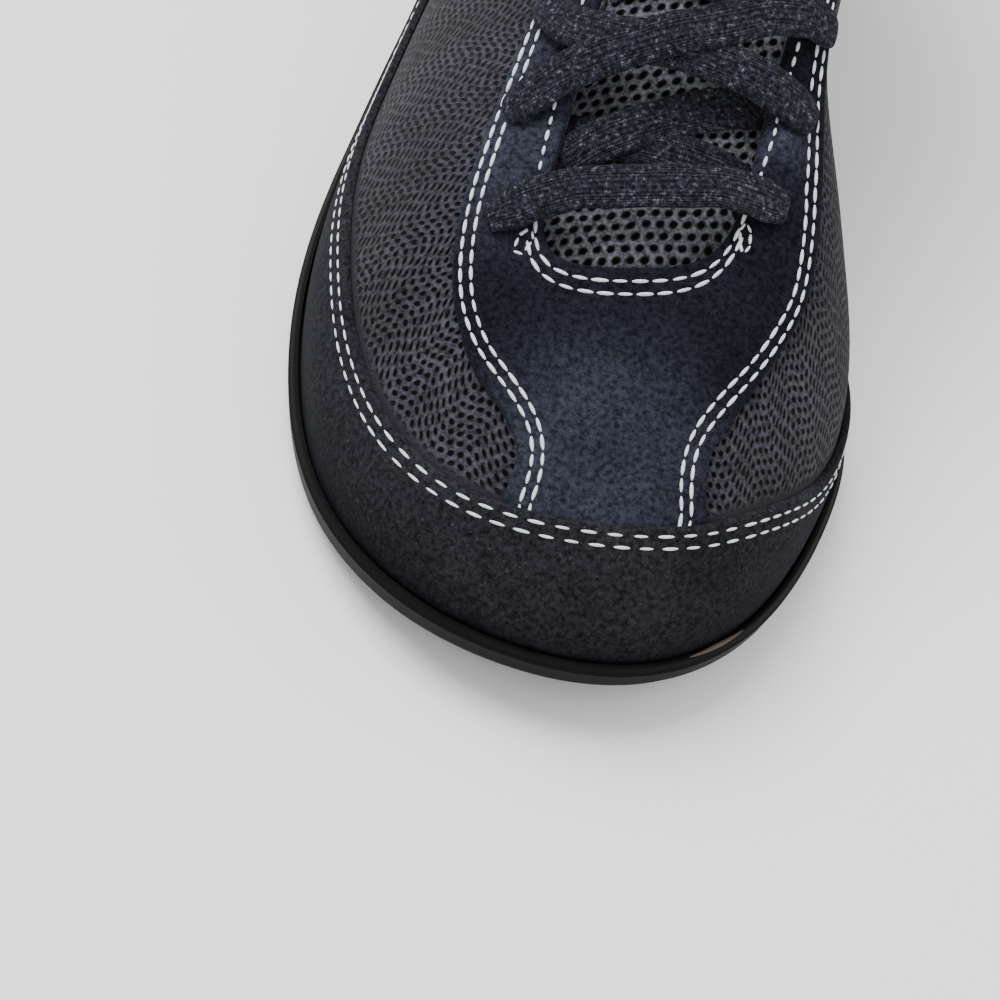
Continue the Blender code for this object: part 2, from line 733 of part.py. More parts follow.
def make_groove_cutter(collection):
    work = bmesh.new()
    for along in groove_places():
        sized = Matrix.Diagonal((2.0 * BALL_WIDTH, GROOVE_WIDTH, 2.0 * GROOVE_DEPTH, 1.0))
        place = Vector((*plan(along, 0.0), 0.0))
        bmesh.ops.create_cube(work, size=1.0, matrix=Matrix.Translation(place) @ sized)
    mesh = bpy.data.meshes.new("groove_cutter")
    work.to_mesh(mesh)
    work.free()
    made = add_object("groove_cutter", mesh, None, collection)
    hide_cutter(made)
    return made


def strip_mesh(name, path, ups, width, thickness):
    """A flat strip along path: ups are its upward directions, width lies across them."""
    path, ups = np.array(path), np.array(ups)
    forward = np.gradient(path, axis=0)
    forward /= np.linalg.norm(forward, axis=1, keepdims=True)
    across = np.cross(forward, ups)
    across /= np.linalg.norm(across, axis=1, keepdims=True)
    up = np.cross(across, forward)
    half, thin = across * width / 2, up * thickness / 2
    ring = np.stack([path - half - thin, path + half - thin, path + half + thin, path - half + thin], 1)
    work = bmesh.new()
    corners = [[work.verts.new(point) for point in row] for row in ring]
    for here, there in zip(corners[:-1], corners[1:]):
        for j in range(4):
            work.faces.new((here[j], here[(j + 1) % 4], there[(j + 1) % 4], there[j]))
    work.faces.new(corners[0][::-1])
    work.faces.new(corners[-1])
    bmesh.ops.recalc_face_normals(work, faces=work.faces)
    mesh = bpy.data.meshes.new(name)
    work.to_mesh(mesh)
    work.free()
    return mesh


def strand_path(outer_rib, inner_rib, over, lift, sag):
    """The middle line of one lace strand from the outer side to the inner side of the throat.

    over: the strand lies on the eyestays and ends at the eyelets. Otherwise it lies on the tongue, between
    the edges of the throat. lift: its height above what it lies on. sag: how far it hangs toward the toe.
    """
    half = LACE_THICKNESS / 2
    drift = (-inner_rib - outer_rib) * EYELET_INSET / (2 * EYELET_INSET + THROAT_WIDTH)
    starts = np.array([outer_rib - EYELET_SWEEP_RIBS]), np.array([inner_rib - EYELET_SWEEP_RIBS])
    sides = [np.array([outer_rib + drift - sag]), np.array([inner_rib + drift + sag])]
    middle = (outer_rib - inner_rib) / 2 - sag
    up = throat_up(middle)
    stack = CLEARANCE + SUEDE + LACE_SEAT + half
    if over:
        edges = [skin(t, 1.0, stack)[0] + up * LACE_WRAP for t in sides]
    else:
        edges = [skin(t, 1.0, -(WALL + FACET_CLEARANCE))[0] + up * (FACET_CLEARANCE + half) for t in sides]
    path, ups = [], []
    inset = 0.02 if over else 0.62 * LACE_WIDTH / THROAT_WIDTH
    for f in np.linspace(inset, 1.0 - inset, 6):
        crown = (4 * f * (1 - f)) ** (LACE_ROUNDING if over else 1.0)
        path.append(edges[0] + (edges[1] - edges[0]) * f + up * crown * (TONGUE_CROWN + lift))
        ups.append(up)
    if over:
        on_suede = []
        for start, side in zip(starts, sides):
            back = np.array([1.0, 0.66, 0.33, 0.0])
            ts = side + (start - side) * back
            hs = 1.0 - share_of_rib(ts, EYELET_INSET) * back
            wrap = up * LACE_WRAP * (1.0 - back[:, None])
            on_suede.append((list(skin(ts, hs, stack) + wrap), list(normals(ts, hs))))
        path = on_suede[0][0] + path[1:-1] + on_suede[1][0][::-1]
        ups = on_suede[0][1] + ups[1:-1] + on_suede[1][1][::-1]
    return path, ups


def make_laces(collection, cutters):
    """The bar at the foot of the throat, then crossings that lie in turn on the tongue and on the eyestays."""
    finish = material("lace_cloth", (0.010, 0.010, 0.011), 0.9)
    outer, inner = throat_rows(), throat_rows(-1)
    bar = strand_path(outer[0], inner[0], True, 0.0, LACE_SAG_RIBS)
    add_object("lace_bar", strip_mesh("lace_bar", *bar, LACE_WIDTH, LACE_THICKNESS), finish, collection)
    for k in range(1, EYELET_PAIRS):
        over = k % 2 == 0
        name = f"lace_cross_{k}"
        first = strand_path(outer[k], inner[k - 1], over, 0.0, LACE_SAG_RIBS)
        made = add_object(name, strip_mesh(name, *first, LACE_WIDTH, LACE_THICKNESS), finish, collection)
        name += "_second"
        second = strand_path(outer[k - 1], inner[k], over, LACE_STEP, 0.0)
        other = add_object(name, strip_mesh(name, *second, LACE_WIDTH, LACE_THICKNESS), None, cutters)
        hide_cutter(other)
        join = made.modifiers.new("crossing", "BOOLEAN")
        join.operation = "UNION"
        join.object = other


def stand_on_origin(collection):
    """Hangs the pieces on an empty that sets the origin under the middle of the shoe."""
    graph = bpy.context.evaluated_depsgraph_get()
    corners = []
    for made in collection.objects:
        corners += [v.co.copy() for v in made.evaluated_get(graph).to_mesh().vertices]
    corners = np.array(corners)
    low, high = corners.min(0), corners.max(0)
    holder = bpy.data.objects.new("shoe_origin", None)
    collection.objects.link(holder)
    holder.location = (-(low[0] + high[0]) / 2, -(low[1] + high[1]) / 2, -low[2])
    return holder


def main():
    for old in list(bpy.data.objects):
        bpy.data.objects.remove(old)
    shoe = bpy.data.collections.new("wrestling_shoe")
    cutters = bpy.data.collections.new("cutters")
    bpy.context.scene.collection.children.link(shoe)
    bpy.context.scene.collection.children.link(cutters)
    eyelets = make_eyelet_cutter(cutters)
    make_outsole(shoe, make_groove_cutter(cutters))
    make_insole(shoe)
    make_upper(shoe, eyelets)
    make_rand(shoe, cutters)
    make_counter(shoe, cutters)
    make_eyestay(shoe, cutters, eyelets)
    make_cuff(shoe, cutters)
    make_tongue(shoe)
    make_laces(shoe, cutters)
    bpy.context.view_layer.update()
    holder = stand_on_origin(shoe)
    for made in list(shoe.objects) + list(cutters.objects):
        if made is not holder:
            made.parent = holder


main()
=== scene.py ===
import math
import bmesh
import bpy
import numpy as np
from mathutils import Matrix, Vector


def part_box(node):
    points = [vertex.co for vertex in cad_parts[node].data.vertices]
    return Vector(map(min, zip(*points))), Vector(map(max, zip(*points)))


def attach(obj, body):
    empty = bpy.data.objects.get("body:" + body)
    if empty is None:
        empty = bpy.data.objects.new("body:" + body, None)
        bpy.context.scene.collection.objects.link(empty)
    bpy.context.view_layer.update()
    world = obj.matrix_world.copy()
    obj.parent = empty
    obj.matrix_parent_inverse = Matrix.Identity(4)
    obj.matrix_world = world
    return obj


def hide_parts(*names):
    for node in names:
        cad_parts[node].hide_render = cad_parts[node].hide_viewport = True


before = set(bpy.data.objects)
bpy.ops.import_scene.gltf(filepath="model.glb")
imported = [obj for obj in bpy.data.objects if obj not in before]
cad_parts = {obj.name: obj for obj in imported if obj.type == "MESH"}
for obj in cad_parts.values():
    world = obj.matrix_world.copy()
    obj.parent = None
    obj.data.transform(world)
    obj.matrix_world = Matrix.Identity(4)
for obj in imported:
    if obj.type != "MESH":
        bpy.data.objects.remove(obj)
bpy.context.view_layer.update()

# the last: the shoe's own surface, as in the CAD
last = {
    "length": 0.272, "ballWidth": 0.094, "instep": 0.086, "collar": 0.140,
    "wallRise": 0.030, "bulge": 0.0040, "throatWidth": 0.034, "collarWidth": 0.068,
    "randHeight": 0.0335, "eyestayWidth": 0.0165, "wall": 0.0018,
    "foreSole": 0.0045, "heelSole": 0.0070, "toeSpring": 0.0080, "arch": 0.0022, "heelRoll": 0.0022,
}

# feather edge, toe to heel: (outer along, outer across), (inner along, inner across)
featherRows = [
    ((0.991, 0.070), (0.991, 0.070)),
    ((0.969, -0.190), (0.967, 0.275)),
    ((0.896, -0.395), (0.908, 0.420)),
    ((0.785, -0.490), (0.822, 0.515)),
    ((0.670, -0.495), (0.725, 0.521)),
    ((0.545, -0.440), (0.610, 0.372)),
    ((0.430, -0.380), (0.490, 0.322)),
    ((0.330, -0.350), (0.375, 0.345)),
    ((0.235, -0.345), (0.265, 0.352)),
    ((0.135, -0.330), (0.145, 0.335)),
    ((0.035, -0.215), (0.035, 0.210)),
    ((0.000, 0.000), (0.000, 0.000)),
]
# topline: along, throat across, collar across, instep rise, collar rise
toplineRows = [
    (0.778, 0.00, 0.00, 0.552, 0.00),
    (0.773, 0.30, 0.00, 0.550, 0.00),
    (0.749, 0.47, 0.00, 0.570, 0.00),
    (0.700, 0.50, 0.00, 0.640, 0.00),
    (0.645, 0.50, 0.00, 0.730, 0.00),
    (0.588, 0.50, 0.00, 0.835, 0.00),
    (0.532, 0.51, 0.00, 0.955, 0.00),
    (0.482, 0.53, 0.00, 1.000, 0.36),
    (0.446, 0.56, 0.02, 1.000, 0.90),
    (0.330, 0.05, 0.46, 1.000, 1.00),
    (0.120, 0.00, 0.46, 1.000, 0.98),
    (0.030, 0.00, 0.00, 1.000, 1.04),
]
# rib form: bulge, wall, reach, drop, lean, tilt, skew
ribRows = [
    (0.80, 0.86, 0.36, 0.125, 0.048, 0.000, 0.000),
    (0.90, 0.86, 0.32, 0.110, 0.048, 0.020, 0.006),
    (1.00, 0.88, 0.24, 0.080, 0.048, 0.034, 0.011),
    (1.10, 0.92, 0.22, 0.080, 0.056, 0.040, 0.014),
    (1.00, 1.00, 0.21, 0.095, 0.068, 0.044, 0.014),
    (0.80, 1.15, 0.20, 0.125, 0.080, 0.044, 0.013),
    (0.80, 1.35, 0.17, 0.180, 0.082, 0.036, 0.011),
    (0.90, 1.50, 0.13, 0.270, 0.068, 0.022, 0.007),
    (1.20, 1.60, 0.08, 0.400, 0.044, 0.008, 0.003),
    (1.60, 1.60, 0.02, 0.480, 0.020, 0.000, 0.000),
    (2.00, 1.45, -0.04, 0.480, 0.006, 0.000, 0.000),
    (1.90, 1.40, -0.10, 0.480, 0.000, 0.000, 0.000),
]
# upper edge of rand and counter: outer side, inner side
randRows = [
    (1.00, 1.00),
    (0.90, 0.97),
    (0.80, 0.77),
    (0.74, 0.49),
    (0.60, 0.39),
    (0.48, 0.36),
    (0.44, 0.36),
    (0.50, 0.46),
    (0.85, 0.82),
    (1.20, 1.18),
    (1.36, 1.36),
    (1.40, 1.40),
]
# vamp piece: rib at the throat, rib at the edge, reach (-1: as far as the rand)
vampOuterRows = [
    (0.00, 0.00, -1.0),
    (0.25, 0.36, -1.0),
    (0.45, 0.70, -1.0),
    (0.66, 0.74, 2.05),
    (0.95, 0.86, 1.72),
    (1.25, 1.20, 1.50),
    (1.70, 1.70, 1.41),
    (2.30, 2.30, 1.34),
    (3.00, 3.00, 1.22),
    (3.60, 3.60, 1.10),
    (4.50, 4.50, 1.00),
    (6.00, 6.00, 0.95),
]
vampInnerRows = [
    (0.00, 0.00, -1.0),
    (0.30, 0.48, -1.0),
    (0.60, 0.95, -1.0),
    (0.82, 1.01, 2.12),
    (1.08, 1.14, 1.84),
    (1.45, 1.50, 1.70),
    (1.90, 1.90, 1.70),
    (2.40, 2.40, 1.76),
    (2.85, 2.85, 1.80),
    (3.25, 3.25, 1.66),
    (3.60, 3.60, 1.46),
    (4.00, 4.00, 1.24),
    (4.50, 4.50, 1.06),
    (6.00, 6.00, 0.95),
]
heelRow = len(featherRows) - 1
loopRows = 2 * heelRow


def unit(v):
    return v / np.linalg.norm(v, axis=-1, keepdims=True)


def runAlong(points):
    # distance from the first point to each one
    return np.concatenate([[0.0], np.cumsum(np.linalg.norm(np.diff(points, axis=0), axis=1))])


def fromToe(t):
    # ribs from the toe, the outer side positive
    return (np.asarray(t, float) + heelRow) % loopRows - heelRow


def closedSpline(rows):
    rows = np.array(rows, float)
    count = len(rows)
    weights = 4.0 * np.eye(count) + np.roll(np.eye(count), 1, 0) + np.roll(np.eye(count), -1, 0)
    slopes = np.linalg.solve(weights, 3.0 * (np.roll(rows, -1, 0) - np.roll(rows, 1, 0)))

    def at(t):
        t = np.asarray(t, float) % count
        low = np.floor(t).astype(int) % count
        high = (low + 1) % count
        f = (t - np.floor(t))[..., None]
        return ((2 * f**3 - 3 * f**2 + 1) * rows[low] + (f**3 - 2 * f**2 + f) * slopes[low]
                + (3 * f**2 - 2 * f**3) * rows[high] + (f**3 - f**2) * slopes[high])

    return at


def roundTheShoe(outer, inner):
    return [outer(k) for k in range(heelRow + 1)] + [inner(k) for k in range(heelRow - 1, 0, -1)]


def softStep(low, high, value):
    f = np.clip((np.asarray(value, float) - low) / (high - low), 0.0, 1.0)
    return f * f * (3.0 - 2.0 * f)


def treadHeight(along):
    spring = last["toeSpring"] * np.clip((along - 0.80) / 0.20, 0.0, 1.0) ** 1.8
    arch = last["arch"] * softStep(0.32, 0.42, along) * (1.0 - softStep(0.50, 0.60, along))
    return spring + arch + last["heelRoll"] * np.clip((0.06 - along) / 0.06, 0.0, 1.0) ** 2


def featherHeight(along):
    thickness = last["heelSole"] + (last["foreSole"] - last["heelSole"]) * softStep(0.25, 0.60, along)
    return treadHeight(along) + thickness


def featherPlace(side, k):
    along, across = featherRows[k][side]
    return across * last["ballWidth"], (0.5 - along) * last["length"]


def toplinePlace(sign, k):
    along, throat, collar, instep, above = toplineRows[k]
    lean, tilt, skew = ribRows[k][4:]
    across = sign * (throat * last["throatWidth"] + collar * last["collarWidth"]) + lean * last["ballWidth"]
    height = (instep + sign * tilt) * last["instep"] + above * (last["collar"] - last["instep"])
    return across, (0.5 - along + sign * skew) * last["length"], height


featherAt = closedSpline(roundTheShoe(lambda k: featherPlace(0, k), lambda k: featherPlace(1, k)))
toplineAt = closedSpline(roundTheShoe(lambda k: toplinePlace(-1, k), lambda k: toplinePlace(1, k)))
formAt = closedSpline(roundTheShoe(lambda k: ribRows[k][:4], lambda k: ribRows[k][:4]))
randAt = closedSpline(roundTheShoe(lambda k: randRows[k][:1], lambda k: randRows[k][1:]))


def alongOf(y):
    return 0.5 - y / last["length"]


def featherPoint(t):
    flat = featherAt(t)
    tangent = featherAt(np.asarray(t) + 1e-3) - featherAt(np.asarray(t) - 1e-3)
    outward = unit(np.stack([-tangent[..., 1], tangent[..., 0], np.zeros_like(tangent[..., 0])], -1))
    return np.concatenate([flat, featherHeight(alongOf(flat[..., 1]))[..., None]], -1), outward * turnSign


turnSign = 1.0
midSide = np.array([heelRow / 2.0])
if featherPoint(midSide)[1][0][0] * featherAt(midSide)[0][0] < 0:
    turnSign = -1.0


def bareSurface(t, h):
    t, h = np.broadcast_arrays(np.asarray(t, float), np.asarray(h, float))
    foot, outward = featherPoint(t)
    top = toplineAt(t)
    bulge, wall, reach, drop = np.moveaxis(formAt(t), -1, 0)[..., None]
    up = np.array([0.0, 0.0, 1.0])
    away = foot - top
    away[..., 2] = 0.0
    away = unit(away)
    low = foot + outward * bulge * last["bulge"] + up * wall * last["wallRise"]
    high = top + away * reach * last["instep"] - up * drop * last["instep"]
    f = h[..., None]
    return (1 - f) ** 3 * foot + 3 * f * (1 - f) ** 2 * low + 3 * f**2 * (1 - f) * high + f**3 * top


# the CAD puts its origin under the middle of the shoe, so the last moves with the upper's box
sampleGrid = bareSurface((np.arange(3 * loopRows) / 3.0)[:, None], np.linspace(0, 1, 12)[None, :]).reshape(-1, 3)
upperLow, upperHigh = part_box("upper")
lastShift = np.array([
    (upperLow[0] + upperHigh[0] - sampleGrid[:, 0].min() - sampleGrid[:, 0].max()) / 2,
    (upperLow[1] + upperHigh[1] - sampleGrid[:, 1].min() - sampleGrid[:, 1].max()) / 2,
    0.0,
])


def bareNormals(t, h):
    t, h = np.broadcast_arrays(np.asarray(t, float), np.asarray(h, float))
    h = np.clip(h, 1e-3, 1 - 1e-3)
    byRib = bareSurface(t + 1e-3, h) - bareSurface(t - 1e-3, h)
    byHeight = bareSurface(t, h + 1e-3) - bareSurface(t, h - 1e-3)
    return unit(np.cross(byRib, byHeight)) * normalSign


normalSign = 1.0
if bareNormals(np.array([2.0]), np.array([0.5]))[0][2] < 0:
    normalSign = -1.0

ribTable = np.linspace(0.0, loopRows, 16 * loopRows + 1)
ribPoints = bareSurface(ribTable[:, None], np.linspace(0, 1, 33)[None, :])
ribSizes = np.linalg.norm(np.diff(ribPoints, axis=1), axis=-1).sum(1)


def ribLength(t):
    return np.interp(np.asarray(t, float) % loopRows, ribTable, ribSizes)


# soft troughs (-) and ridges (+) of a shoe that has been flexed and handled:
# rib, share of the way up, half length in ribs, half width as a share of the way up, depth, turn in degrees
creases = [
    (0.55, 0.60, 1.20, 0.050, -0.0007, 18),
    (-0.90, 0.66, 1.30, 0.045, -0.0007, -14),
    (1.85, 0.52, 0.60, 0.060, -0.0009, 30),
    (2.70, 0.50, 0.45, 0.090, 0.0007, 0),
    (-2.10, 0.50, 0.55, 0.070, -0.0008, -25),
    (3.60, 0.44, 0.50, 0.110, -0.0009, 20),
    (-3.60, 0.46, 0.50, 0.120, -0.0008, -20),
    (5.20, 0.52, 0.45, 0.160, -0.0012, 24),
    (-5.20, 0.52, 0.45, 0.160, -0.0012, -24),
    (6.30, 0.60, 0.40, 0.150, 0.0010, 16),
    (-6.30, 0.60, 0.40, 0.150, 0.0010, -16),
    (7.40, 0.72, 0.45, 0.100, -0.0014, 30),
    (-7.40, 0.72, 0.45, 0.100, -0.0014, -30),
    (9.20, 0.55, 0.55, 0.060, -0.0010, 8),
    (-9.20, 0.55, 0.55, 0.060, -0.0010, -8),
    (10.90, 0.62, 0.90, 0.045, -0.0009, 0),
    (0.00, 0.20, 1.10, 0.080, -0.0006, 0),
    (2.30, 0.18, 0.70, 0.070, 0.0005, 0),
    (-3.22, 0.935, 0.42, 0.036, 0.0026, 54),
    (-3.02, 0.880, 0.48, 0.018, -0.0014, 54),
]


creaseScale = {"rib": 0.017, "up": 0.075}    # metres along one rib step and from feather to topline


def creaseLift(t, h):
    around = fromToe(t)
    lift = np.zeros(np.broadcast(around, h).shape)
    for rib, up, wide, tall, depth, turn in creases:
        run = fromToe(around - rib) * creaseScale["rib"]
        rise = (h - up) * creaseScale["up"]
        a = math.radians(turn)
        x = (run * math.cos(a) + rise * math.sin(a)) / (wide * creaseScale["rib"])
        y = (rise * math.cos(a) - run * math.sin(a)) / (tall * creaseScale["up"])
        lift = lift + depth * np.exp(-(x * x + y * y))
    return lift * np.clip(np.minimum(h / 0.10, (1.0 - h) / 0.06), 0.0, 1.0)


def skinAt(t, h, lift=0.0):
    t, h = np.broadcast_arrays(np.asarray(t, float), np.asarray(h, float))
    lift = np.asarray(lift, float) + creaseLift(t, h)
    return bareSurface(t, h) + bareNormals(t, h) * lift[..., None] + lastShift


def upShare(t, distance):
    return distance / ribLength(t)


def randTop(t):
    return upShare(t, randAt(t)[..., 0] * last["randHeight"])


# the same for one place only
def pointAt(t, h, lift=0.0):
    return skinAt(np.array([t]), np.array([h]), lift)[0]


def normalAt(t, h):
    return bareNormals(np.array([t]), np.array([h]))[0]


def shareAt(t, distance):
    return float(upShare(np.array(t), distance))


print("last rebuilt, shift", np.round(lastShift * 1000, 2))


# camera, floor and soft light
cameraSetup = {
    "target": (-0.0104, -0.1073, 0.0148), "azimuth": -7.83, "elevation": 52.98, "roll": 18.58,
    "distance": 0.5, "lens": 102.82, "sensor": 36.0, "clip": (0.01, 20.0),
}
stage = {
    "half": 6.0, "albedo": 0.93, "world": 0.90,
    "lights": {    # place, aim, size, power
        "keyLight": ((-0.5, 0.35, 1.1), (0.0, -0.05, 0.03), 0.9, 24.0),
        "frontLight": ((0.25, -1.0, 0.8), (0.0, -0.08, 0.03), 0.9, 3.0),
        "rightLight": ((1.0, 0.1, 0.7), (0.0, 0.0, 0.04), 0.8, 3.0),
    },
}


def linkObject(name, data):
    made = bpy.data.objects.new(name, data)
    bpy.context.scene.collection.objects.link(made)
    return made


def feed(tree, socket, value):
    if isinstance(value, bpy.types.NodeSocket):
        tree.links.new(value, socket)
    else:
        socket.default_value = value


def addNode(tree, kind, inputs=(), **settings):
    node = tree.nodes.new(kind)
    for key, value in settings.items():
        setattr(node, key, value)
    for key, value in dict(inputs).items():
        feed(tree, node.inputs[key], value)
    return node


def newMaterial(name):
    mat = bpy.data.materials.new(name)
    mat.use_nodes = True
    return mat, mat.node_tree


def setShader(tree, inputs):
    for key, value in inputs.items():
        feed(tree, tree.nodes["Principled BSDF"].inputs[key], value)


def makeCamera():
    a, e, r = (math.radians(cameraSetup[k]) for k in ("azimuth", "elevation", "roll"))
    back = Vector((math.sin(a) * math.cos(e), -math.cos(a) * math.cos(e), math.sin(e)))
    side = Vector((math.cos(a), math.sin(a), 0.0))
    top = back.cross(side)
    side, top = side * math.cos(r) + top * math.sin(r), top * math.cos(r) - side * math.sin(r)
    data = bpy.data.cameras.new("photoCamera")
    data.lens, data.sensor_width = cameraSetup["lens"], cameraSetup["sensor"]
    data.clip_start, data.clip_end = cameraSetup["clip"]
    cam = linkObject("photoCamera", data)
    cam.matrix_world = Matrix((side, top, back)).transposed().to_4x4()
    cam.matrix_world.translation = Vector(cameraSetup["target"]) + back * cameraSetup["distance"]
    bpy.context.scene.camera = cam


def makeStage():
    mat, tree = newMaterial("paleFloor")
    tone = stage["albedo"]
    setShader(tree, {"Base Color": (tone, tone, tone, 1.0), "Roughness": 0.9, "Specular IOR Level": 0.1})
    mesh = bpy.data.meshes.new("floor")
    s = stage["half"]
    mesh.from_pydata([(-s, -s, 0), (s, -s, 0), (s, s, 0), (-s, s, 0)], [], [(0, 1, 2, 3)])
    mesh.materials.append(mat)
    linkObject("floor", mesh)
    world = bpy.data.worlds.new("paleWorld")
    world.use_nodes = True
    sky = world.node_tree.nodes["Background"]
    sky.inputs["Color"].default_value = (1.0, 1.0, 1.0, 1.0)
    sky.inputs["Strength"].default_value = stage["world"]
    bpy.context.scene.world = world
    for name, (place, aim, size, power) in stage["lights"].items():
        data = bpy.data.lights.new(name, "AREA")
        data.shape, data.size, data.energy = "DISK", size, power
        lamp = linkObject(name, data)
        lamp.location = place
        lamp.rotation_euler = (Vector(place) - Vector(aim)).to_track_quat("Z", "Y").to_euler()


makeCamera()
makeStage()
print("camera and stage made")


# mesh helpers: a piece is a grid of points with a UV map in millimetres
def linkPiece(name, mesh, materials, replaces=()):
    piece = linkObject(name, mesh)
    for mat in materials:
        mesh.materials.append(mat)
    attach(piece, "root")
    if replaces:
        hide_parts(*replaces)
    return piece


def newWork():
    work = bmesh.new()
    return work, work.loops.layers.uv.new("UVMap")


def gridFaces(work, layer, grid, uv, matIndex=0, closed=False, flip=False):
    columns, rows = grid.shape[:2]
    verts = [[work.verts.new(p) for p in column] for column in grid]
    for i in range(columns if closed else columns - 1):
        n = (i + 1) % columns
        for j in range(rows - 1):
            corners = [(i, j), (n, j), (n, j + 1), (i, j + 1)]
            if flip:
                corners.reverse()
            face = work.faces.new([verts[a][b] for a, b in corners])
            face.material_index, face.smooth = matIndex, True
            for loop, (a, b) in zip(face.loops, corners):
                # the last column of a closed grid meets the first one, but its UVs run on
                loop[layer].uv = uv[columns][b] if closed and n == 0 and a == 0 else uv[a][b]
    return verts


def closeRim(work, layer, top, under, uv=None, matIndex=0):
    # a strip of faces between the borders of two grids
    columns, rows = len(top), len(top[0])
    rim = [(i, 0) for i in range(columns)] + [(columns - 1, j) for j in range(1, rows)]
    rim += [(i, rows - 1) for i in range(columns - 2, -1, -1)] + [(0, j) for j in range(rows - 2, 0, -1)]
    for here, there in zip(rim, rim[1:] + rim[:1]):
        (i, j), (m, n) = here, there
        face = work.faces.new((top[i][j], under[i][j], under[m][n], top[m][n]))
        face.material_index, face.smooth = matIndex, True
        if uv is not None:
            for loop, (a, b) in zip(face.loops, (here, here, there, there)):
                loop[layer].uv = uv[a][b]


def tubeRings(path, ups, x, y, wide, tall):
    # a ring of points (x, y) square to the path at each of its points
    forward = unit(np.gradient(path, axis=0))
    across = unit(np.cross(forward, ups))
    up = np.cross(across, forward)
    return path[:, None] + across[:, None] * x[None, :, None] * wide + up[:, None] * y[None, :, None] * tall


def tubeFaces(work, layer, rings, run, girth):
    # a tube with closed ends; run and girth are its UV lengths in millimetres
    verts = [[work.verts.new(p) for p in ring] for ring in rings]
    count = len(verts[0])
    for i in range(len(verts) - 1):
        for j in range(count):
            n = (j + 1) % count
            face = work.faces.new((verts[i][j], verts[i][n], verts[i + 1][n], verts[i + 1][j]))
            face.smooth = True
            for loop, (a, b) in zip(face.loops, ((i, j), (i, j + 1), (i + 1, j + 1), (i + 1, j))):
                loop[layer].uv = (girth * b / count, run[a])
    work.faces.new(verts[0][::-1])
    work.faces.new(verts[-1])


def finishMesh(work, name, outward=True):
    if outward:
        bmesh.ops.recalc_face_normals(work, faces=work.faces)
    mesh = bpy.data.meshes.new(name)
    work.to_mesh(mesh)
    work.free()
    return mesh


def tube(name, path, ups, halfWide, halfTall, mat, slot, segments=14):
    a = np.linspace(0, 2 * math.pi, segments, endpoint=False)
    wide, tall = (np.broadcast_to(size, len(path))[:, None, None] for size in (halfWide, halfTall))
    work, layer = newWork()
    rings = tubeRings(path, ups, np.cos(a), np.sin(a), wide, tall)
    tubeFaces(work, layer, rings, runAlong(path) * 1000, 12.0)
    return linkPiece(name, finishMesh(work, name), [mat])


def bakedMesh(source, name, *spent):
    # the mesh that an object's modifiers make; the object and its helpers go
    bpy.context.view_layer.update()
    mesh = bpy.data.meshes.new_from_object(source.evaluated_get(bpy.context.evaluated_depsgraph_get()))
    mesh.name = name
    for gone in (source, *spent):
        bpy.data.objects.remove(gone)
    return mesh


def catmull(rows, steps):
    # a smooth line through the rows, with so many points to each step
    rows = np.asarray(rows, float)
    padded = np.concatenate([2 * rows[:1] - rows[1:2], rows, 2 * rows[-1:] - rows[-2:-1]])
    out = []
    for a, b, c, d in zip(padded[:-3], padded[1:-2], padded[2:-1], padded[3:]):
        for f in np.arange(steps) / steps:
            bend = (2 * a - 5 * b + 4 * c - d) * f**2 + (3 * b - a - 3 * c + d) * f**3
            out.append((2 * b + (c - a) * f + bend) / 2)
    return np.array(out + [rows[-1]])


def openTree(name, numbers):
    # a Geometry Nodes group with one geometry in and out, and named numbers
    tree = bpy.data.node_groups.new(name, "GeometryNodeTree")
    tree.interface.new_socket("Places", in_out="INPUT", socket_type="NodeSocketGeometry")
    keys = [tree.interface.new_socket(number, in_out="INPUT", socket_type="NodeSocketFloat").identifier
            for number in numbers]
    tree.interface.new_socket("Pieces", in_out="OUTPUT", socket_type="NodeSocketGeometry")
    return tree, keys, tree.nodes.new("NodeGroupInput").outputs


def closeTree(tree, instances, mat, smooth=False):
    made = addNode(tree, "GeometryNodeRealizeInstances", {0: instances}).outputs[0]
    if smooth:
        made = addNode(tree, "GeometryNodeSetShadeSmooth", {"Geometry": made}).outputs["Geometry"]
    paint = addNode(tree, "GeometryNodeSetMaterial", {"Geometry": made, "Material": mat})
    addNode(tree, "NodeGroupOutput", {"Pieces": paint.outputs["Geometry"]})


def runTree(source, name, tree, keys, values):
    run = source.modifiers.new(name, "NODES")
    run.node_group = tree
    for key, value in zip(keys, values):
        run[key] = value
    return bakedMesh(source, name)


# distances round the shoe at mid height, in millimetres, so that patterns keep their size
aroundTable = np.linspace(-loopRows, loopRows, 32 * loopRows + 1)
aroundRun = runAlong(bareSurface(aroundTable, np.full(len(aroundTable), 0.55))) * 1000
aroundRun -= np.interp(0.0, aroundTable, aroundRun)


def surfaceUv(t, h):
    t, h = np.broadcast_arrays(np.asarray(t, float), np.asarray(h, float))
    return np.stack([np.interp(t, aroundTable, aroundRun), h * ribLength(t) * 1000], -1)


# finishes
def mathNode(tree, operation, *values):
    return addNode(tree, "ShaderNodeMath", enumerate(values), operation=operation).outputs[0]


def mixRgb(tree, blend, factor, a, b):
    return addNode(tree, "ShaderNodeMix", {0: factor, 6: a, 7: b}, data_type="RGBA", blend_type=blend).outputs[2]


def noiseNode(tree, vector, scale, detail=3.0, rough=0.55):
    inputs = {"Vector": vector, "Scale": scale, "Detail": detail, "Roughness": rough}
    return addNode(tree, "ShaderNodeTexNoise", inputs).outputs["Fac"]


def rampNode(tree, value, stops):
    node = addNode(tree, "ShaderNodeValToRGB", {0: value})
    ramp = node.color_ramp
    while len(ramp.elements) < len(stops):
        ramp.elements.new(0.5)
    for element, (place, colour) in zip(ramp.elements, stops):
        element.position = place
        element.color = (*colour, 1.0)
    return node.outputs["Color"]


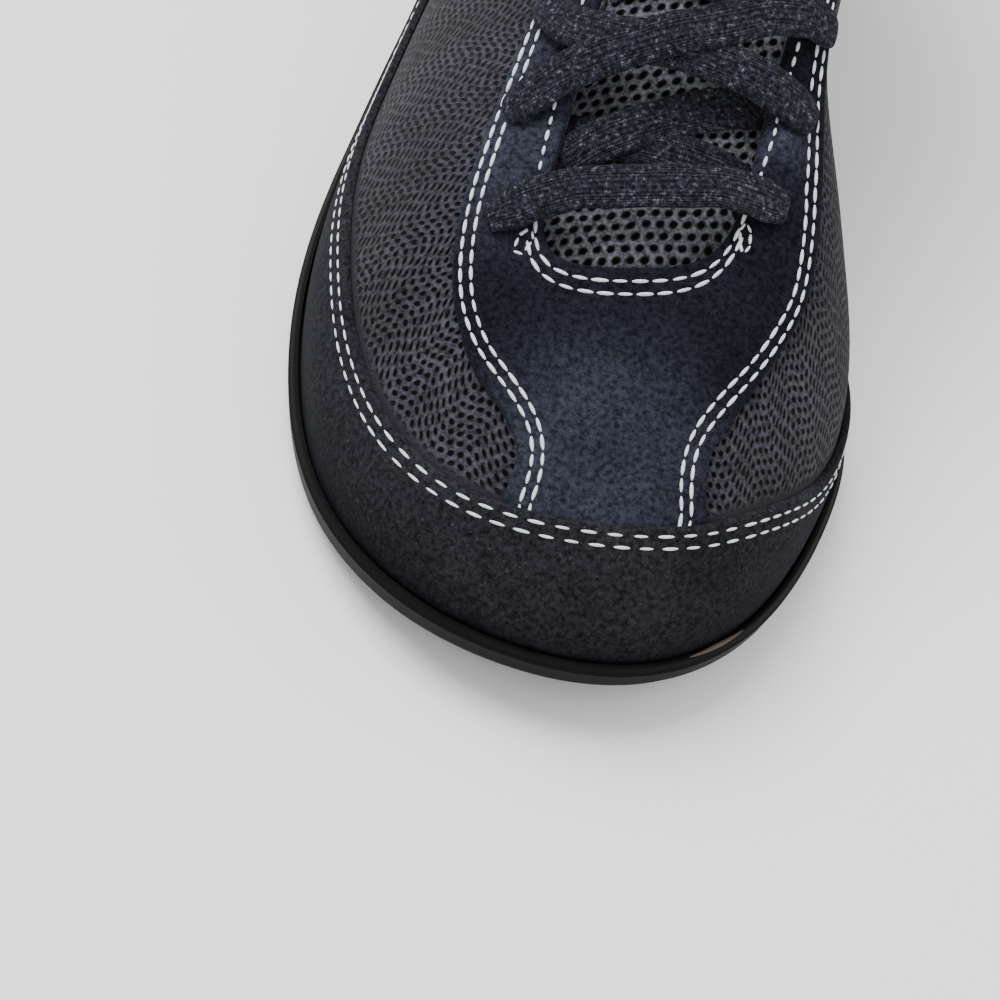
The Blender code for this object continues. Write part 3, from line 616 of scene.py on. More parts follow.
def rangeNode(tree, value, low, high, start=0.0, stop=1.0, kind="SMOOTHSTEP"):
    inputs = {"Value": value, "From Min": low, "From Max": high, "To Min": start, "To Max": stop}
    return addNode(tree, "ShaderNodeMapRange", inputs, interpolation_type=kind).outputs["Result"]


def bumpNode(tree, height, strength, distance):
    inputs = {"Height": height, "Strength": strength, "Distance": distance}
    return addNode(tree, "ShaderNodeBump", inputs).outputs["Normal"]


def greyNode(tree, value):
    return addNode(tree, "ShaderNodeCombineXYZ", {k: value for k in range(3)}).outputs[0]


def objectCoords(tree):
    return addNode(tree, "ShaderNodeTexCoord").outputs["Object"]


def uvCoords(tree):
    uv = addNode(tree, "ShaderNodeUVMap", uv_map="UVMap").outputs["UV"]
    return addNode(tree, "ShaderNodeSeparateXYZ", {0: uv}).outputs[:2]


def toned(colour, gain):
    return tuple(c * gain for c in colour)


def suedeMaterial(name, dark, light, sheen, scuff, floorShade=0.0, paintedSheen=None):
    # brushed nap: soft cloudy tone, fine specks and a little dust; where asked, painted sheen spots and painted shade
    # towards the floor
    mat, tree = newMaterial(name)
    coords = objectCoords(tree)
    cloud = noiseNode(tree, coords, 38.0, 4.0, 0.6)
    nap = noiseNode(tree, coords, 1050.0, 3.0, 0.7)
    fleck = noiseNode(tree, coords, 1900.0, 1.0, 0.5)
    base = rampNode(tree, cloud, [(0.30, dark), (0.72, light)])
    shade = rampNode(tree, nap, [(0.34, (0.35, 0.35, 0.36)), (0.66, (1.70, 1.70, 1.74))])
    dust = rampNode(tree, fleck, [(0.66, (0.0, 0.0, 0.0)), (0.82, toned((0.10, 0.10, 0.11), scuff))])
    colour = mixRgb(tree, "ADD", 1.0, mixRgb(tree, "MULTIPLY", 1.0, base, shade), dust)
    if paintedSheen:
        # painted sheen and shade: the suede is darkened overall and painted paler in soft spots where light falls on
        # it
        amount = paintedSheen["dark"]
        for centre, full, none, gain in paintedSheen["spots"]:
            away = addNode(tree, "ShaderNodeVectorMath", {0: coords, 1: centre}, operation="DISTANCE")
            near = rangeNode(tree, away.outputs["Value"], full, none, gain, 0.0)
            amount = mathNode(tree, "ADD", near, amount)
        colour = mixRgb(tree, "MULTIPLY", 1.0, colour, greyNode(tree, amount))
    if floorShade:
        # painted shade: the colour darkens towards the floor, standing in for the shade low on the piece
        level = addNode(tree, "ShaderNodeSeparateXYZ", {0: coords}).outputs["Z"]
        paintedFloorShade = rangeNode(tree, level, 0.006, 0.026, 1.0 - floorShade, 1.0)
        colour = mixRgb(tree, "MULTIPLY", 1.0, colour, greyNode(tree, paintedFloorShade))
    height = mathNode(tree, "ADD", mathNode(tree, "MULTIPLY", nap, 0.6), mathNode(tree, "MULTIPLY", fleck, 0.4))
    setShader(tree, {
        "Base Color": colour, "Roughness": 0.95, "Specular IOR Level": 0.04, "Sheen Weight": sheen,
        "Sheen Roughness": 0.45, "Sheen Tint": (0.75, 0.80, 1.0, 1.0),
        "Normal": bumpNode(tree, height, 0.55, 0.0004),
    })
    return mat


def holeMesh(name, yarn, gap, pitch, wave, hole, yarnNoise=1100.0):
    # knitted mesh on the UV map in millimetres: staggered oval holes in rows that run in waves,
    # and fewer of them where the attribute "plain" rises
    mat, tree = newMaterial(name)
    coords = objectCoords(tree)
    u, v = uvCoords(tree)

    def do(operation, *values):
        return mathNode(tree, operation, *values)

    wobble = noiseNode(tree, coords, 120.0, 2.0)
    u = do("ADD", u, do("MULTIPLY", wobble, 0.9))
    if wave["height"]:
        turn = do("SINE", do("MULTIPLY", u, math.pi / wave["width"]))
        v = do("ADD", v, do("MULTIPLY", turn, wave["height"] / 2))
    v = do("ADD", v, do("MULTIPLY", wobble, 1.2))
    alongRow, acrossRows = do("DIVIDE", u, pitch[0]), do("DIVIDE", v, pitch[1])
    stagger = do("MULTIPLY", do("MODULO", do("FLOOR", acrossRows), 2.0), 0.5)
    alongRow = do("FRACT", do("ADD", alongRow, stagger))
    du = do("DIVIDE", do("SUBTRACT", alongRow, 0.5), hole[0])
    dv = do("DIVIDE", do("SUBTRACT", do("FRACT", acrossRows), 0.5), hole[1])
    away = do("SQRT", do("ADD", do("MULTIPLY", du, du), do("MULTIPLY", dv, dv)))
    plain = addNode(tree, "ShaderNodeAttribute", attribute_name="plain").outputs["Fac"]
    cloth = do("MAXIMUM", rangeNode(tree, away, 0.70, 1.30), plain)
    fibre = noiseNode(tree, coords, yarnNoise, 2.0, 0.6)
    cloud = rampNode(tree, noiseNode(tree, coords, 45.0, 3.0), [(0.3, (0.75,) * 3), (0.7, (1.25,) * 3)])
    tone = rampNode(tree, fibre, [(0.32, toned(yarn, 0.35)), (0.68, toned(yarn, 1.9))])
    tone = mixRgb(tree, "MULTIPLY", 1.0, tone, cloud)
    tone = mixRgb(tree, "MIX", plain, tone, (*toned(yarn, 0.62), 1.0))
    height = do("ADD", cloth, do("MULTIPLY", fibre, 0.35))
    setShader(tree, {
        "Base Color": mixRgb(tree, "MIX", cloth, (*gap, 1.0), tone), "Roughness": 0.9, "Specular IOR Level": 0.05,
        "Sheen Weight": 0.05, "Sheen Roughness": 0.5, "Normal": bumpNode(tree, height, 0.9, 0.0007),
    })
    return mat


def wovenMaterial(name, base, fleck, ribPitch):
    # woven cloth: fine ribs both ways across the UV map's millimetres, with light flecks
    mat, tree = newMaterial(name)
    x, y = uvCoords(tree)
    ribs = [mathNode(tree, "SINE", mathNode(tree, "MULTIPLY", mathNode(tree, way, x, y), 2 * math.pi / ribPitch))
            for way in ("ADD", "SUBTRACT")]
    weave = mathNode(tree, "MULTIPLY", *ribs)
    specks = noiseNode(tree, objectCoords(tree), 1150.0, 2.0, 0.75)
    tone = rampNode(tree, specks, [(0.36, toned(base, 0.25)), (0.52, base), (0.64, toned(base, 2.6)), (0.74, fleck)])
    lit = mathNode(tree, "MULTIPLY_ADD", weave, 0.5, 0.5)
    shade = rampNode(tree, lit, [(0.0, (0.65,) * 3), (1.0, (1.2,) * 3)])
    height = mathNode(tree, "ADD", weave, mathNode(tree, "MULTIPLY", specks, 0.8))
    setShader(tree, {
        "Base Color": mixRgb(tree, "MULTIPLY", 1.0, tone, shade), "Roughness": 0.9, "Specular IOR Level": 0.05,
        "Sheen Weight": 0.03, "Normal": bumpNode(tree, height, 0.7, 0.0005),
    })
    return mat


def rubberMaterial(name, base):
    mat, tree = newMaterial(name)
    coords = objectCoords(tree)
    cloud = noiseNode(tree, coords, 30.0, 4.0)
    worn = tuple(c * 1.9 + 0.001 for c in base)
    setShader(tree, {
        "Base Color": rampNode(tree, cloud, [(0.35, base), (0.75, worn)]),
        "Roughness": rangeNode(tree, cloud, 0.0, 1.0, 0.42, 0.68, "LINEAR"), "Specular IOR Level": 0.08,
        "Normal": bumpNode(tree, noiseNode(tree, coords, 1400.0, 2.0), 0.25, 0.0003),
    })
    return mat


def threadMaterial(name, base):
    mat, tree = newMaterial(name)
    twist = noiseNode(tree, objectCoords(tree), 2200.0, 1.0)
    setShader(tree, {
        "Base Color": rampNode(tree, twist, [(0.3, toned(base, 0.72)), (0.7, base)]), "Roughness": 0.6,
        "Sheen Weight": 0.2, "Normal": bumpNode(tree, twist, 0.4, 0.0002),
    })
    return mat


# painted sheen and shade on the vamp suede: darker overall, paler in spots where light falls, a pool of sheen low on
# the vamp and two lit places up by the facings
paintedSheenSpots = {    # spots: centre, full within, none beyond, gain
    "dark": 0.36,
    "spots": [
        (tuple(pointAt(0.10, 0.58)), 0.005, 0.034, 0.85),
        (tuple(pointAt(3.60, 0.88)), 0.008, 0.034, 0.95),
        (tuple(pointAt(-3.25, 0.94)), 0.002, 0.011, 1.10),
    ],
}
# the rand's suede carries painted shade that darkens it towards the floor
randSuede = suedeMaterial("randSuede", dark=(0.0100, 0.0100, 0.0125), light=(0.0185, 0.0183, 0.0220),
                          sheen=0.02, scuff=0.35, floorShade=0.90)
# the vamp's suede carries the painted sheen spots and painted shade above
vampSuede = suedeMaterial("vampSuede", dark=(0.0125, 0.0140, 0.0205), light=(0.0215, 0.0238, 0.0345),
                          sheen=0.03, scuff=0.20, paintedSheen=paintedSheenSpots)
sideMesh = holeMesh("sideMesh", yarn=(0.0285, 0.0270, 0.0350), gap=(0.0006, 0.0006, 0.0009), pitch=(1.75, 1.85),
                    wave={"width": 6.6, "height": 3.0}, hole=(0.33, 0.28))
tongueMesh = holeMesh("tongueMesh", yarn=(0.076, 0.079, 0.092), gap=(0.0005, 0.0005, 0.0007), pitch=(2.5, 2.1),
                      wave={"width": 6.0, "height": 0.0}, hole=(0.31, 0.33), yarnNoise=1300.0)
liningCloth = wovenMaterial("liningCloth", (0.055, 0.055, 0.062), (0.12, 0.12, 0.13), 0.9)
laceCloth = wovenMaterial("laceCloth", (0.0195, 0.0205, 0.0295), (0.190, 0.190, 0.230), 0.85)
bindingTape = wovenMaterial("bindingTape", (0.018, 0.019, 0.026), (0.05, 0.05, 0.060), 0.8)
soleRubber = rubberMaterial("soleRubber", (0.0024, 0.0021, 0.0020))
holeShade = rubberMaterial("holeShade", (0.0015, 0.0015, 0.0018))
# pale colour for the painted highlight along the sole's edge beside the toe
paleHighlight = rubberMaterial("paleHighlight", (0.070, 0.055, 0.046))
whiteThread = threadMaterial("whiteThread", (0.74, 0.77, 0.83))
print("finishes made")


# upper: mesh cloth outside, lining inside, closed at feather edge and topline
upperCloth = {
    "columns": 264, "rows": 64, "lift": -0.0001, "calm": 0.22,    # calm: fainter holes away from the toe
    "randTrim": 0.0014, "trimFrom": 0.95,
}


def randTrim(t):
    # the sewn rand's edge lies a little below the source's, but for the part over the vamp
    return upperCloth["randTrim"] * (1 - np.exp(-((fromToe(t) / upperCloth["trimFrom"]) ** 2)))


def randEdge(t):
    return randTop(t) - upShare(t, randTrim(t))


def makeUpper():
    ts = np.linspace(0.0, loopRows, upperCloth["columns"] + 1)[:, None]
    hs = np.linspace(0.0, 1.0, upperCloth["rows"])[None, :]
    outer = skinAt(ts[:-1], hs, upperCloth["lift"])
    inner = skinAt(ts[:-1], hs, -last["wall"])
    uv = surfaceUv(ts, hs)
    work, layer = newWork()
    a = gridFaces(work, layer, outer, uv, closed=True)
    b = gridFaces(work, layer, inner, uv, 1, closed=True, flip=True)
    for j, flip in ((0, True), (-1, False)):
        for i in range(len(a)):
            n = (i + 1) % len(a)
            corners = [a[i][j], a[n][j], b[n][j], b[i][j]]
            face = work.faces.new(corners[::-1] if flip else corners)
            face.material_index, face.smooth = 1, True
    mesh = finishMesh(work, "upperCloth")
    # no holes under the rand's edge, and fainter ones where the cloth is stretched over the instep
    above = (hs - randEdge(ts[:-1])) * ribLength(ts[:-1])
    faint = upperCloth["calm"] * softStep(2.6, 3.9, np.abs(fromToe(ts[:-1])))
    plain = np.zeros(len(mesh.vertices))
    plain[:above.size] = np.maximum(1 - softStep(0.0006, 0.0022, above), faint).ravel()
    mesh.attributes.new("plain", "FLOAT", "POINT").data.foreach_set("value", plain)
    linkPiece("upperCloth", mesh, [sideMesh, liningCloth], ["upper"])


# suede pieces sewn onto the upper
suede = {
    "randEnd": 6.5, "eyestayEnd": 8.5, "lift": 0.0003, "thick": 0.0012, "roundEdge": 0.0012, "sink": 0.0002,
    "cuffHeight": 0.015, "tuck": 0.0032, "overlap": 0.0011, "gap": 0.02, "trimBeside": 0.0016,
}
suedeTop = suede["lift"] + suede["thick"]


def patchPiece(name, starts, ends, low, high, mat, replaces, rows=22, profile=None):
    # between two edges given in (rib, height): starts and high at its top, ends and low at its bottom
    edge = suede["roundEdge"]
    share = np.linspace(0.0, 1.0, rows)
    border = np.array([0.0, 0.15, 0.45, 0.85]) * edge
    ts, hs, reach = [], [], []
    for s, e, a, b in zip(starts, ends, low, high):
        width = float(np.linalg.norm(pointAt(s, b) - pointAt(e, a)))
        near = border / max(width, 4 * edge)
        f = np.concatenate([near, near[-1] + (1 - 2 * near[-1]) * share[1:-1], 1 - near[::-1]])
        ts.append(e + (s - e) * f)
        hs.append(a + (b - a) * f)
        reach.append(np.minimum(f, 1 - f) * width)
    ts, hs, reach = np.array(ts), np.array(hs), np.array(reach)
    swell = np.sqrt(np.clip(1 - (1 - np.clip(reach / edge, 0, 1)) ** 2, 0, 1))
    extra = profile(ts, hs) if profile else 0.0
    uv = surfaceUv(ts, hs)
    work, layer = newWork()
    a = gridFaces(work, layer, skinAt(ts, hs, suede["lift"] + suede["thick"] * swell + extra), uv)
    b = gridFaces(work, layer, skinAt(ts, hs, suede["lift"] - suede["sink"]), uv, flip=True)
    closeRim(work, layer, a, b, uv)
    linkPiece(name, finishMesh(work, name), [mat], replaces)


def vampSide(table, sign):
    rows = []
    for start, end, reach in table:
        t = sign * end
        if reach < 0:
            low = float(randTop(np.array(t))) - shareAt(t, suede["tuck"])
        else:
            low = 1.0 - shareAt(t, reach * last["eyestayWidth"])
        rows.append((sign * start, t, low))
    smooth = catmull(rows, 12)
    ts = sign * np.linspace(table[-1][1], suede["eyestayEnd"], 34)[1:]
    return np.concatenate([smooth, np.stack([ts, ts, 1.0 - upShare(ts, table[-1][2] * last["eyestayWidth"])], 1)])


def randOverVamp(t, h):
    # the rand lies over the vamp piece where the two meet
    away = fromToe(t)
    side = np.where(away > 0, softStep(1.05, 0.70, away), softStep(1.30, 0.95, -away))
    return suede["overlap"] * side * softStep(0.0, 1.0, 1 - (randTop(t) - h) / upShare(t, 0.010))


def behind(end, count):
    # ribs from an end round the heel to the same end on the other side
    return np.linspace(end, loopRows - end, count)


def makeSuede():
    ts = np.linspace(-suede["randEnd"], suede["randEnd"], 300)
    patchPiece("randSuedePiece", ts, ts, 0 * ts, randEdge(ts), randSuede, ["toe_rand"],
               profile=randOverVamp)
    ts = behind(suede["randEnd"] + suede["gap"], 200)
    patchPiece("counterSuedePiece", ts, ts, 0 * ts, randEdge(ts), randSuede, ["heel_counter"])
    starts, ends, low = np.concatenate([vampSide(vampInnerRows, -1.0)[:0:-1], vampSide(vampOuterRows, 1.0)]).T
    # beside the facings the suede is cut close to its outer stitch row
    low = low + upShare(ends, suede["trimBeside"] * softStep(1.2, 2.0, np.abs(ends)))
    patchPiece("vampSuedePiece", starts, ends, low, np.ones(len(low)), vampSuede, ["eyestay"], 26)
    ts = behind(suede["eyestayEnd"] + suede["gap"], 160)
    patchPiece("cuffSuedePiece", ts, ts, 1 - upShare(ts, suede["cuffHeight"]), np.ones(160), vampSuede,
               ["collar_cuff"], 10)


makeUpper()
makeSuede()
print("upper and suede pieces made")


# stitching: Geometry Nodes lay one stitch after another along each seam
stitchRise, seamStep = 0.00145, 0.0008
toeSeam = {"from": -1.50, "to": 1.70, "gap": 0.02, "closer": 0.0011, "spread": 1.1}
seams = {    # insets: how far the rows lie inside the piece's edge
    "randStitching": {"pitch": 0.0033, "width": 0.00052, "filled": 0.76, "insets": (0.0033, 0.0055)},
    "toeStitching": {"pitch": 0.0042, "width": 0.00056, "filled": 0.66},
    "vampStitching": {"pitch": 0.0031, "width": 0.00070, "filled": 0.90, "insets": (0.0029, 0.0047)},
    "throatStitching": {"pitch": 0.0034, "width": 0.00072, "filled": 0.86, "insets": (0.0023, 0.0042)},
    "loopStitching": {"pitch": 0.0019, "width": 0.00058, "filled": 0.95, "insets": (0.0050,), "radius": 0.0021},
    "facingStitching": {"pitch": 0.0028, "width": 0.00070, "filled": 0.70, "insets": (0.0033,)},
    "counterStitching": {"pitch": 0.0031, "width": 0.00058, "filled": 0.76, "insets": (0.0031, 0.0053)},
    "cuffStitching": {"pitch": 0.0031, "width": 0.00058, "filled": 0.76, "insets": (0.0026, 0.0048)},
}


def stitchTree():
    tree, keys, given = openTree("stitchRun", ("Pitch", "Stitch Length", "Stitch Width"))
    spots = addNode(tree, "GeometryNodeCurveToPoints", {"Curve": given["Places"], "Length": given["Pitch"]},
                    mode="LENGTH")
    ball = addNode(tree, "GeometryNodeMeshUVSphere", {"Segments": 8, "Rings": 6, "Radius": 0.5})
    size = addNode(tree, "ShaderNodeCombineXYZ", {0: given["Stitch Width"], 1: given["Stitch Width"],
                                                  2: given["Stitch Length"]})
    vary = addNode(tree, "FunctionNodeRandomValue", {2: 0.88, 3: 1.10, "Seed": 7}, data_type="FLOAT")
    scaled = addNode(tree, "ShaderNodeVectorMath", {0: size.outputs[0], "Scale": vary.outputs[1]}, operation="SCALE")
    put = addNode(tree, "GeometryNodeInstanceOnPoints", {
        "Points": spots.outputs["Points"], "Instance": ball.outputs["Mesh"],
        "Rotation": spots.outputs["Rotation"], "Scale": scaled.outputs[0],
    })
    closeTree(tree, put.outputs["Instances"], whiteThread, smooth=True)
    return tree, keys


stitchGroup, stitchKeys = stitchTree()


def spread(points, shares):
    # the points at these shares of the way along
    run = runAlong(points)
    return np.stack([np.interp(shares * run[-1], run, points[:, k]) for k in range(3)], 1)


def sewRows(name, rows):
    seam = seams[name]
    curve = bpy.data.curves.new(name + "Seam", "CURVE")
    curve.dimensions = "3D"
    for row in rows:
        path = spread(row, np.linspace(0.0, 1.0, max(2, int(runAlong(row)[-1] / seamStep))))
        spline = curve.splines.new("POLY")
        spline.points.add(len(path) - 1)
        spline.points.foreach_set("co", np.concatenate([path, np.ones((len(path), 1))], 1).ravel())
    sizes = (seam["pitch"], seam["filled"] * seam["pitch"], seam["width"])
    mesh = runTree(linkObject(name + "Seam", curve), name, stitchGroup, stitchKeys, sizes)
    linkPiece(name, mesh, [])
    print(name, len(mesh.polygons), "faces")


def rowAlong(ts, hs, extra=0.0):
    return skinAt(ts, hs, stitchRise + extra)


def smoothed(values, rounds):
    for _ in range(rounds):
        values[1:-1] = (values[:-2] + 2 * values[1:-1] + values[2:]) / 4
    return values


def shiftedEdge(table, sign, inset):
    # a row that follows the vamp piece's outer edge from the rand upwards, inset metres inside it
    side = vampSide(table, sign)[24:]
    run = runAlong(skinAt(side[:, 1], side[:, 2]))
    at = np.arange(0.0, run[-1], 0.0010)
    t, h = np.interp(at, run, side[:, 1]), np.interp(at, run, side[:, 2])
    ends = skinAt(t, h)
    along = unit(smoothed(np.gradient(ends, axis=0), 6))
    inward = np.cross(bareNormals(t, np.clip(h, 0, 1)), along)
    tops = skinAt(np.interp(at, run, side[:, 0]), np.ones(len(at)))
    if np.median((inward * (tops - ends)).sum(1)) < 0:
        inward = -inward
    # walk inset metres over the surface, so that every stitch lies on the suede
    goal = ends + inward * inset
    for _ in range(3):
        here = skinAt(t, h)
        byRib, byHeight = (skinAt(t + 1e-3, h) - here) * 1e3, (skinAt(t, h + 1e-3) - here) * 1e3
        a, b, c = (byRib * byRib).sum(1), (byRib * byHeight).sum(1), (byHeight * byHeight).sum(1)
        p, q = ((goal - here) * byRib).sum(1), ((goal - here) * byHeight).sum(1)
        t, h = t + (c * p - b * q) / (a * c - b * b), h + (a * q - b * p) / (a * c - b * b)
    return rowAlong(smoothed(t, 8), smoothed(h, 8))


def rowsInside(name, ts, top, ends=0):
    # a seam's rows under an edge; the second one is shorter by so many points at both ends
    rows = []
    for k, inset in enumerate(seams[name]["insets"]):
        part = slice(ends * k, len(ts) - ends * k)
        rows.append(rowAlong(ts[part], (top - upShare(ts, inset))[part]))
    return rows


def makeStitching():
    end = suede["randEnd"] - 0.05
    toe, sides = [], []
    for inset in seams["randStitching"]["insets"]:
        for first, stop, runs in ((-end, toeSeam["from"] - toeSeam["gap"], sides),
                                  (toeSeam["from"], toeSeam["to"], toe),
                                  (toeSeam["to"] + toeSeam["gap"], end, sides)):
            ts = np.linspace(first, stop, 200)
            closer = toeSeam["closer"] * np.exp(-((ts / toeSeam["spread"]) ** 2))
            hs = randTop(ts) - upShare(ts, inset - closer)
            runs.append(rowAlong(ts, hs, randOverVamp(ts, hs)))
    sewRows("randStitching", sides)
    sewRows("toeStitching", toe)
    sewRows("vampStitching", [shiftedEdge(table, sign, inset)
                              for table, sign in ((vampOuterRows, 1.0), (vampInnerRows, -1.0))
                              for inset in seams["vampStitching"]["insets"]])
    # the reinforcement under the throat: two rows joined by small loops at both ends
    ts = np.linspace(-2.24, 2.20, 90)
    sewRows("throatStitching", rowsInside("throatStitching", ts, 1, ends=5))
    loops, a = [], np.linspace(0.0, 2 * math.pi, 24)
    for t in (ts[2], ts[-3]):
        mid = 1 - shareAt(t, seams["loopStitching"]["insets"][0])
        high = mid + shareAt(t, seams["loopStitching"]["radius"]) * np.sin(a)
        loops.append(rowAlong(t + 0.13 * np.cos(a), high))
    sewRows("loopStitching", loops)
    sewRows("facingStitching", [row for sign in (1, -1)
                                for row in rowsInside("facingStitching", sign * np.linspace(2.62, 8.4, 160), 1)])
    ts = behind(suede["randEnd"] + 0.07, 260)
    sewRows("counterStitching", rowsInside("counterStitching", ts, randTop(ts)))
    ts = behind(suede["eyestayEnd"] + 0.06, 200)
    cuff = seams["cuffStitching"]["insets"]
    sewRows("cuffStitching", [rowAlong(ts, 1 - upShare(ts, suede["cuffHeight"] - inset)) for inset in cuff])


makeStitching()
print("stitching done")


# the laces: crossings on the throat's edge, and the eyelets outside them
lacing = {
    "pairs": 7, "first": 0.0150, "last": 0.0300, "inset": 0.0110, "radius": 0.0021, "sweep": 0.2,
    "width": 0.0079, "thick": 0.0016, "sag": 0.3, "wrap": 0.0022, "crown": 0.0032, "rounding": 0.6,
    "over": {"hump": 0.0017, "humpAt": 0.42}, "under": {"hump": 0.0016, "humpAt": 0.22},
    # the punched hole and its pressed lip: share of the radius and lift of each ring
    "rings": ((0.6, 0.00006), (0.92, 0.00008), (1.08, 0.00026), (1.25, 0.00018), (1.42, -0.0001)),
}


def throatRows(side):
    ts = np.linspace(1.5, suede["eyestayEnd"], 400)
    run = runAlong(toplineAt(side * ts))
    places = np.linspace(lacing["first"], run[-1] - lacing["last"], lacing["pairs"])
    return [side * float(t) for t in np.interp(places, run, ts)]


def throatRun(t):
    # along the throat's middle
    ahead = max(t, 0.05)
    near, far = (toplineAt(np.array(ahead + d)) + toplineAt(np.array(loopRows - ahead - d)) for d in (-0.05, 0.05))
    return unit(far - near)


def throatUp(t):
    # out of the throat, square to its width and its run
    across = toplineAt(np.array(loopRows - t)) - toplineAt(np.array(t))
    if np.linalg.norm(across) < 0.2 * last["throatWidth"]:
        across = np.array([1.0, 0.0, 0.0])
    return unit(np.cross(across, throatRun(t)))


def towardsEyelet(rib, side, back):
    # rib, height and normal at a share of the way from the throat's edge to the eyelet
    t = side + (rib - lacing["sweep"] - side) * back
    h = 1.0 - shareAt(t, lacing["inset"] * back)
    return t, h, normalAt(t, h)


def makeEyelets():
    work, layer = newWork()
    a = np.linspace(0, 2 * math.pi, 20, endpoint=False)
    for crossing in throatRows(1) + throatRows(-1):
        t, h, normal = towardsEyelet(crossing, 0.0, 1.0)
        centre = pointAt(t, h, suedeTop)
        side = unit(np.cross(normal, [0.0, 0.0, 1.0]))
        ahead = np.cross(side, normal)
        circle = np.cos(a)[:, None] * side + np.sin(a)[:, None] * ahead
        rows = [[work.verts.new(p) for p in centre + normal * lift + lacing["radius"] * share * circle]
                for share, lift in lacing["rings"]]
        middle = work.verts.new(centre + normal * lacing["rings"][0][1])
        for i in range(len(a)):
            n = (i + 1) % len(a)
            work.faces.new((middle, rows[0][i], rows[0][n]))
            for k, (inner, outer) in enumerate(zip(rows[:-1], rows[1:])):
                face = work.faces.new((inner[i], outer[i], outer[n], inner[n]))
                face.material_index, face.smooth = min(k, 1), True
    for face in work.faces:
        for loop in face.loops:
            loop[layer].uv = (loop.vert.co.x * 1000, loop.vert.co.y * 1000)
    linkPiece("eyeletHoles", finishMesh(work, "eyeletHoles", outward=False), [holeShade, vampSuede])


def strandSides(outerRib, innerRib, sag):
    # up and along the throat there, and the ribs where the strand crosses its edges
    middleRib = (outerRib - innerRib) / 2 - sag
    drift = (-innerRib - outerRib) * lacing["inset"] / (2 * lacing["inset"] + last["throatWidth"])
    return throatUp(middleRib), throatRun(middleRib), (outerRib + drift - sag, innerRib + drift + sag)


def overStrand(outerRib, innerRib, sag, bow=0.0, hump=0.0, humpAt=0.5):
    # knots of a strand that lies on both facings: rows of place, up, width share, thickness share
    up, ahead, sides = strandSides(outerRib, innerRib, sag)
    stack = suedeTop + 0.0004 + lacing["thick"] / 2
    edges = [pointAt(t, 1.0, stack) + up * lacing["wrap"] for t in sides]
    knots = []
    for f in np.linspace(0.12, 0.88, 6):
        crown = (4 * f * (1 - f)) ** lacing["rounding"] * lacing["crown"]
        crown += hump * math.exp(-(((f - humpAt) / 0.16) ** 2))
        place = edges[0] + (edges[1] - edges[0]) * f + up * crown + ahead * bow * 4 * f * (1 - f)
        knots.append((place, up, 1.0, 1.0))
    ends = []
    for rib, side in zip((outerRib, innerRib), sides):
        rows = []
        for back in (0.66, 0.33):
            t, h, normal = towardsEyelet(rib, side, back)
            rows.append((pointAt(t, h, stack) + up * lacing["wrap"] * (1 - back), normal, 1.0, 1.0))
        ends.append(throughEyelet(rib, rows[0][0]) + rows)
    return ends[0] + knots + ends[1][::-1]


def throughEyelet(rib, towards):
    # from under the facing, up through the hole and over onto the suede
    t, h, normal = towardsEyelet(rib, 0.0, 1.0)
    spot = pointAt(t, h)
    out = spot - towards
    out = unit(out - normal * out.dot(normal))
    top = suedeTop + lacing["thick"] / 2
    return [
        (spot - out * 0.0016 - normal * (last["wall"] + 0.0008), -normal, 0.62, 0.7),
        (spot + out * 0.0001 - normal * last["wall"] * 0.5, out, 0.50, 1.0),
        (spot + out * 0.0010 + normal * (top - 0.0004), out * 0.75 + normal * 0.65, 0.66, 1.35),
        (spot - out * 0.0008 + normal * (top + 0.0005), normal, 0.86, 1.2),
    ]


def insideStrand(outerRib, innerRib, sag, bow=0.0, hump=0.0, humpAt=0.5):
    # knots of a strand that comes up from under the facings and lies on the tongue
    up, ahead, sides = strandSides(outerRib, innerRib, sag)
    under = last["wall"] + 0.0010
    edges = [pointAt(t, 1.0, -under) + up * 0.0002 for t in sides]
    knots = []
    for f in (0.14, 0.3, 0.45, 0.6, 0.75, 0.86):
        crown = 4 * f * (1 - f) * (lacing["crown"] + 0.0005) + hump * math.exp(-(((f - humpAt) / 0.15) ** 2))
        place = edges[0] + (edges[1] - edges[0]) * f + up * (crown + 0.0006) + ahead * bow * 4 * f * (1 - f)
        knots.append((place, -up, 1.0, 1.0))
    ends = []
    for rib, side in zip((outerRib, innerRib), sides):
        spots = [towardsEyelet(rib, side, back) for back in (0.55, 0.12)]
        ends.append([(pointAt(t, h, -under), -normal, 0.9, 0.5) for t, h, normal in spots])
    return ends[0] + knots + ends[1][::-1]


def laceRibbon(work, layer, knots, startAt=0.0):
    # a flat woven tube through the knots
    place, ups = catmull([k[0] for k in knots], 7), catmull([k[1] for k in knots], 7)
    size = catmull([k[2:] for k in knots], 7)
    around = np.linspace(0, 2 * math.pi, 18, endpoint=False)
    x, y = np.cos(around), np.sin(around)
    x, y = np.sign(x) * np.abs(x) ** 0.72, np.sign(y) * np.abs(y) ** 0.80
    run = startAt + runAlong(place) * 1000
    wave = 1 + 0.02 * np.sin(run * 0.55) + 0.015 * np.sin(run * 0.23 + 1.0)
    half = (lacing["width"] / 2 * size[:, 0] * wave)[:, None, None]
    thin = (lacing["thick"] / 2 * size[:, 1])[:, None, None]
    tubeFaces(work, layer, tubeRings(place, ups, x, y, half, thin), run, lacing["width"] * 2000)


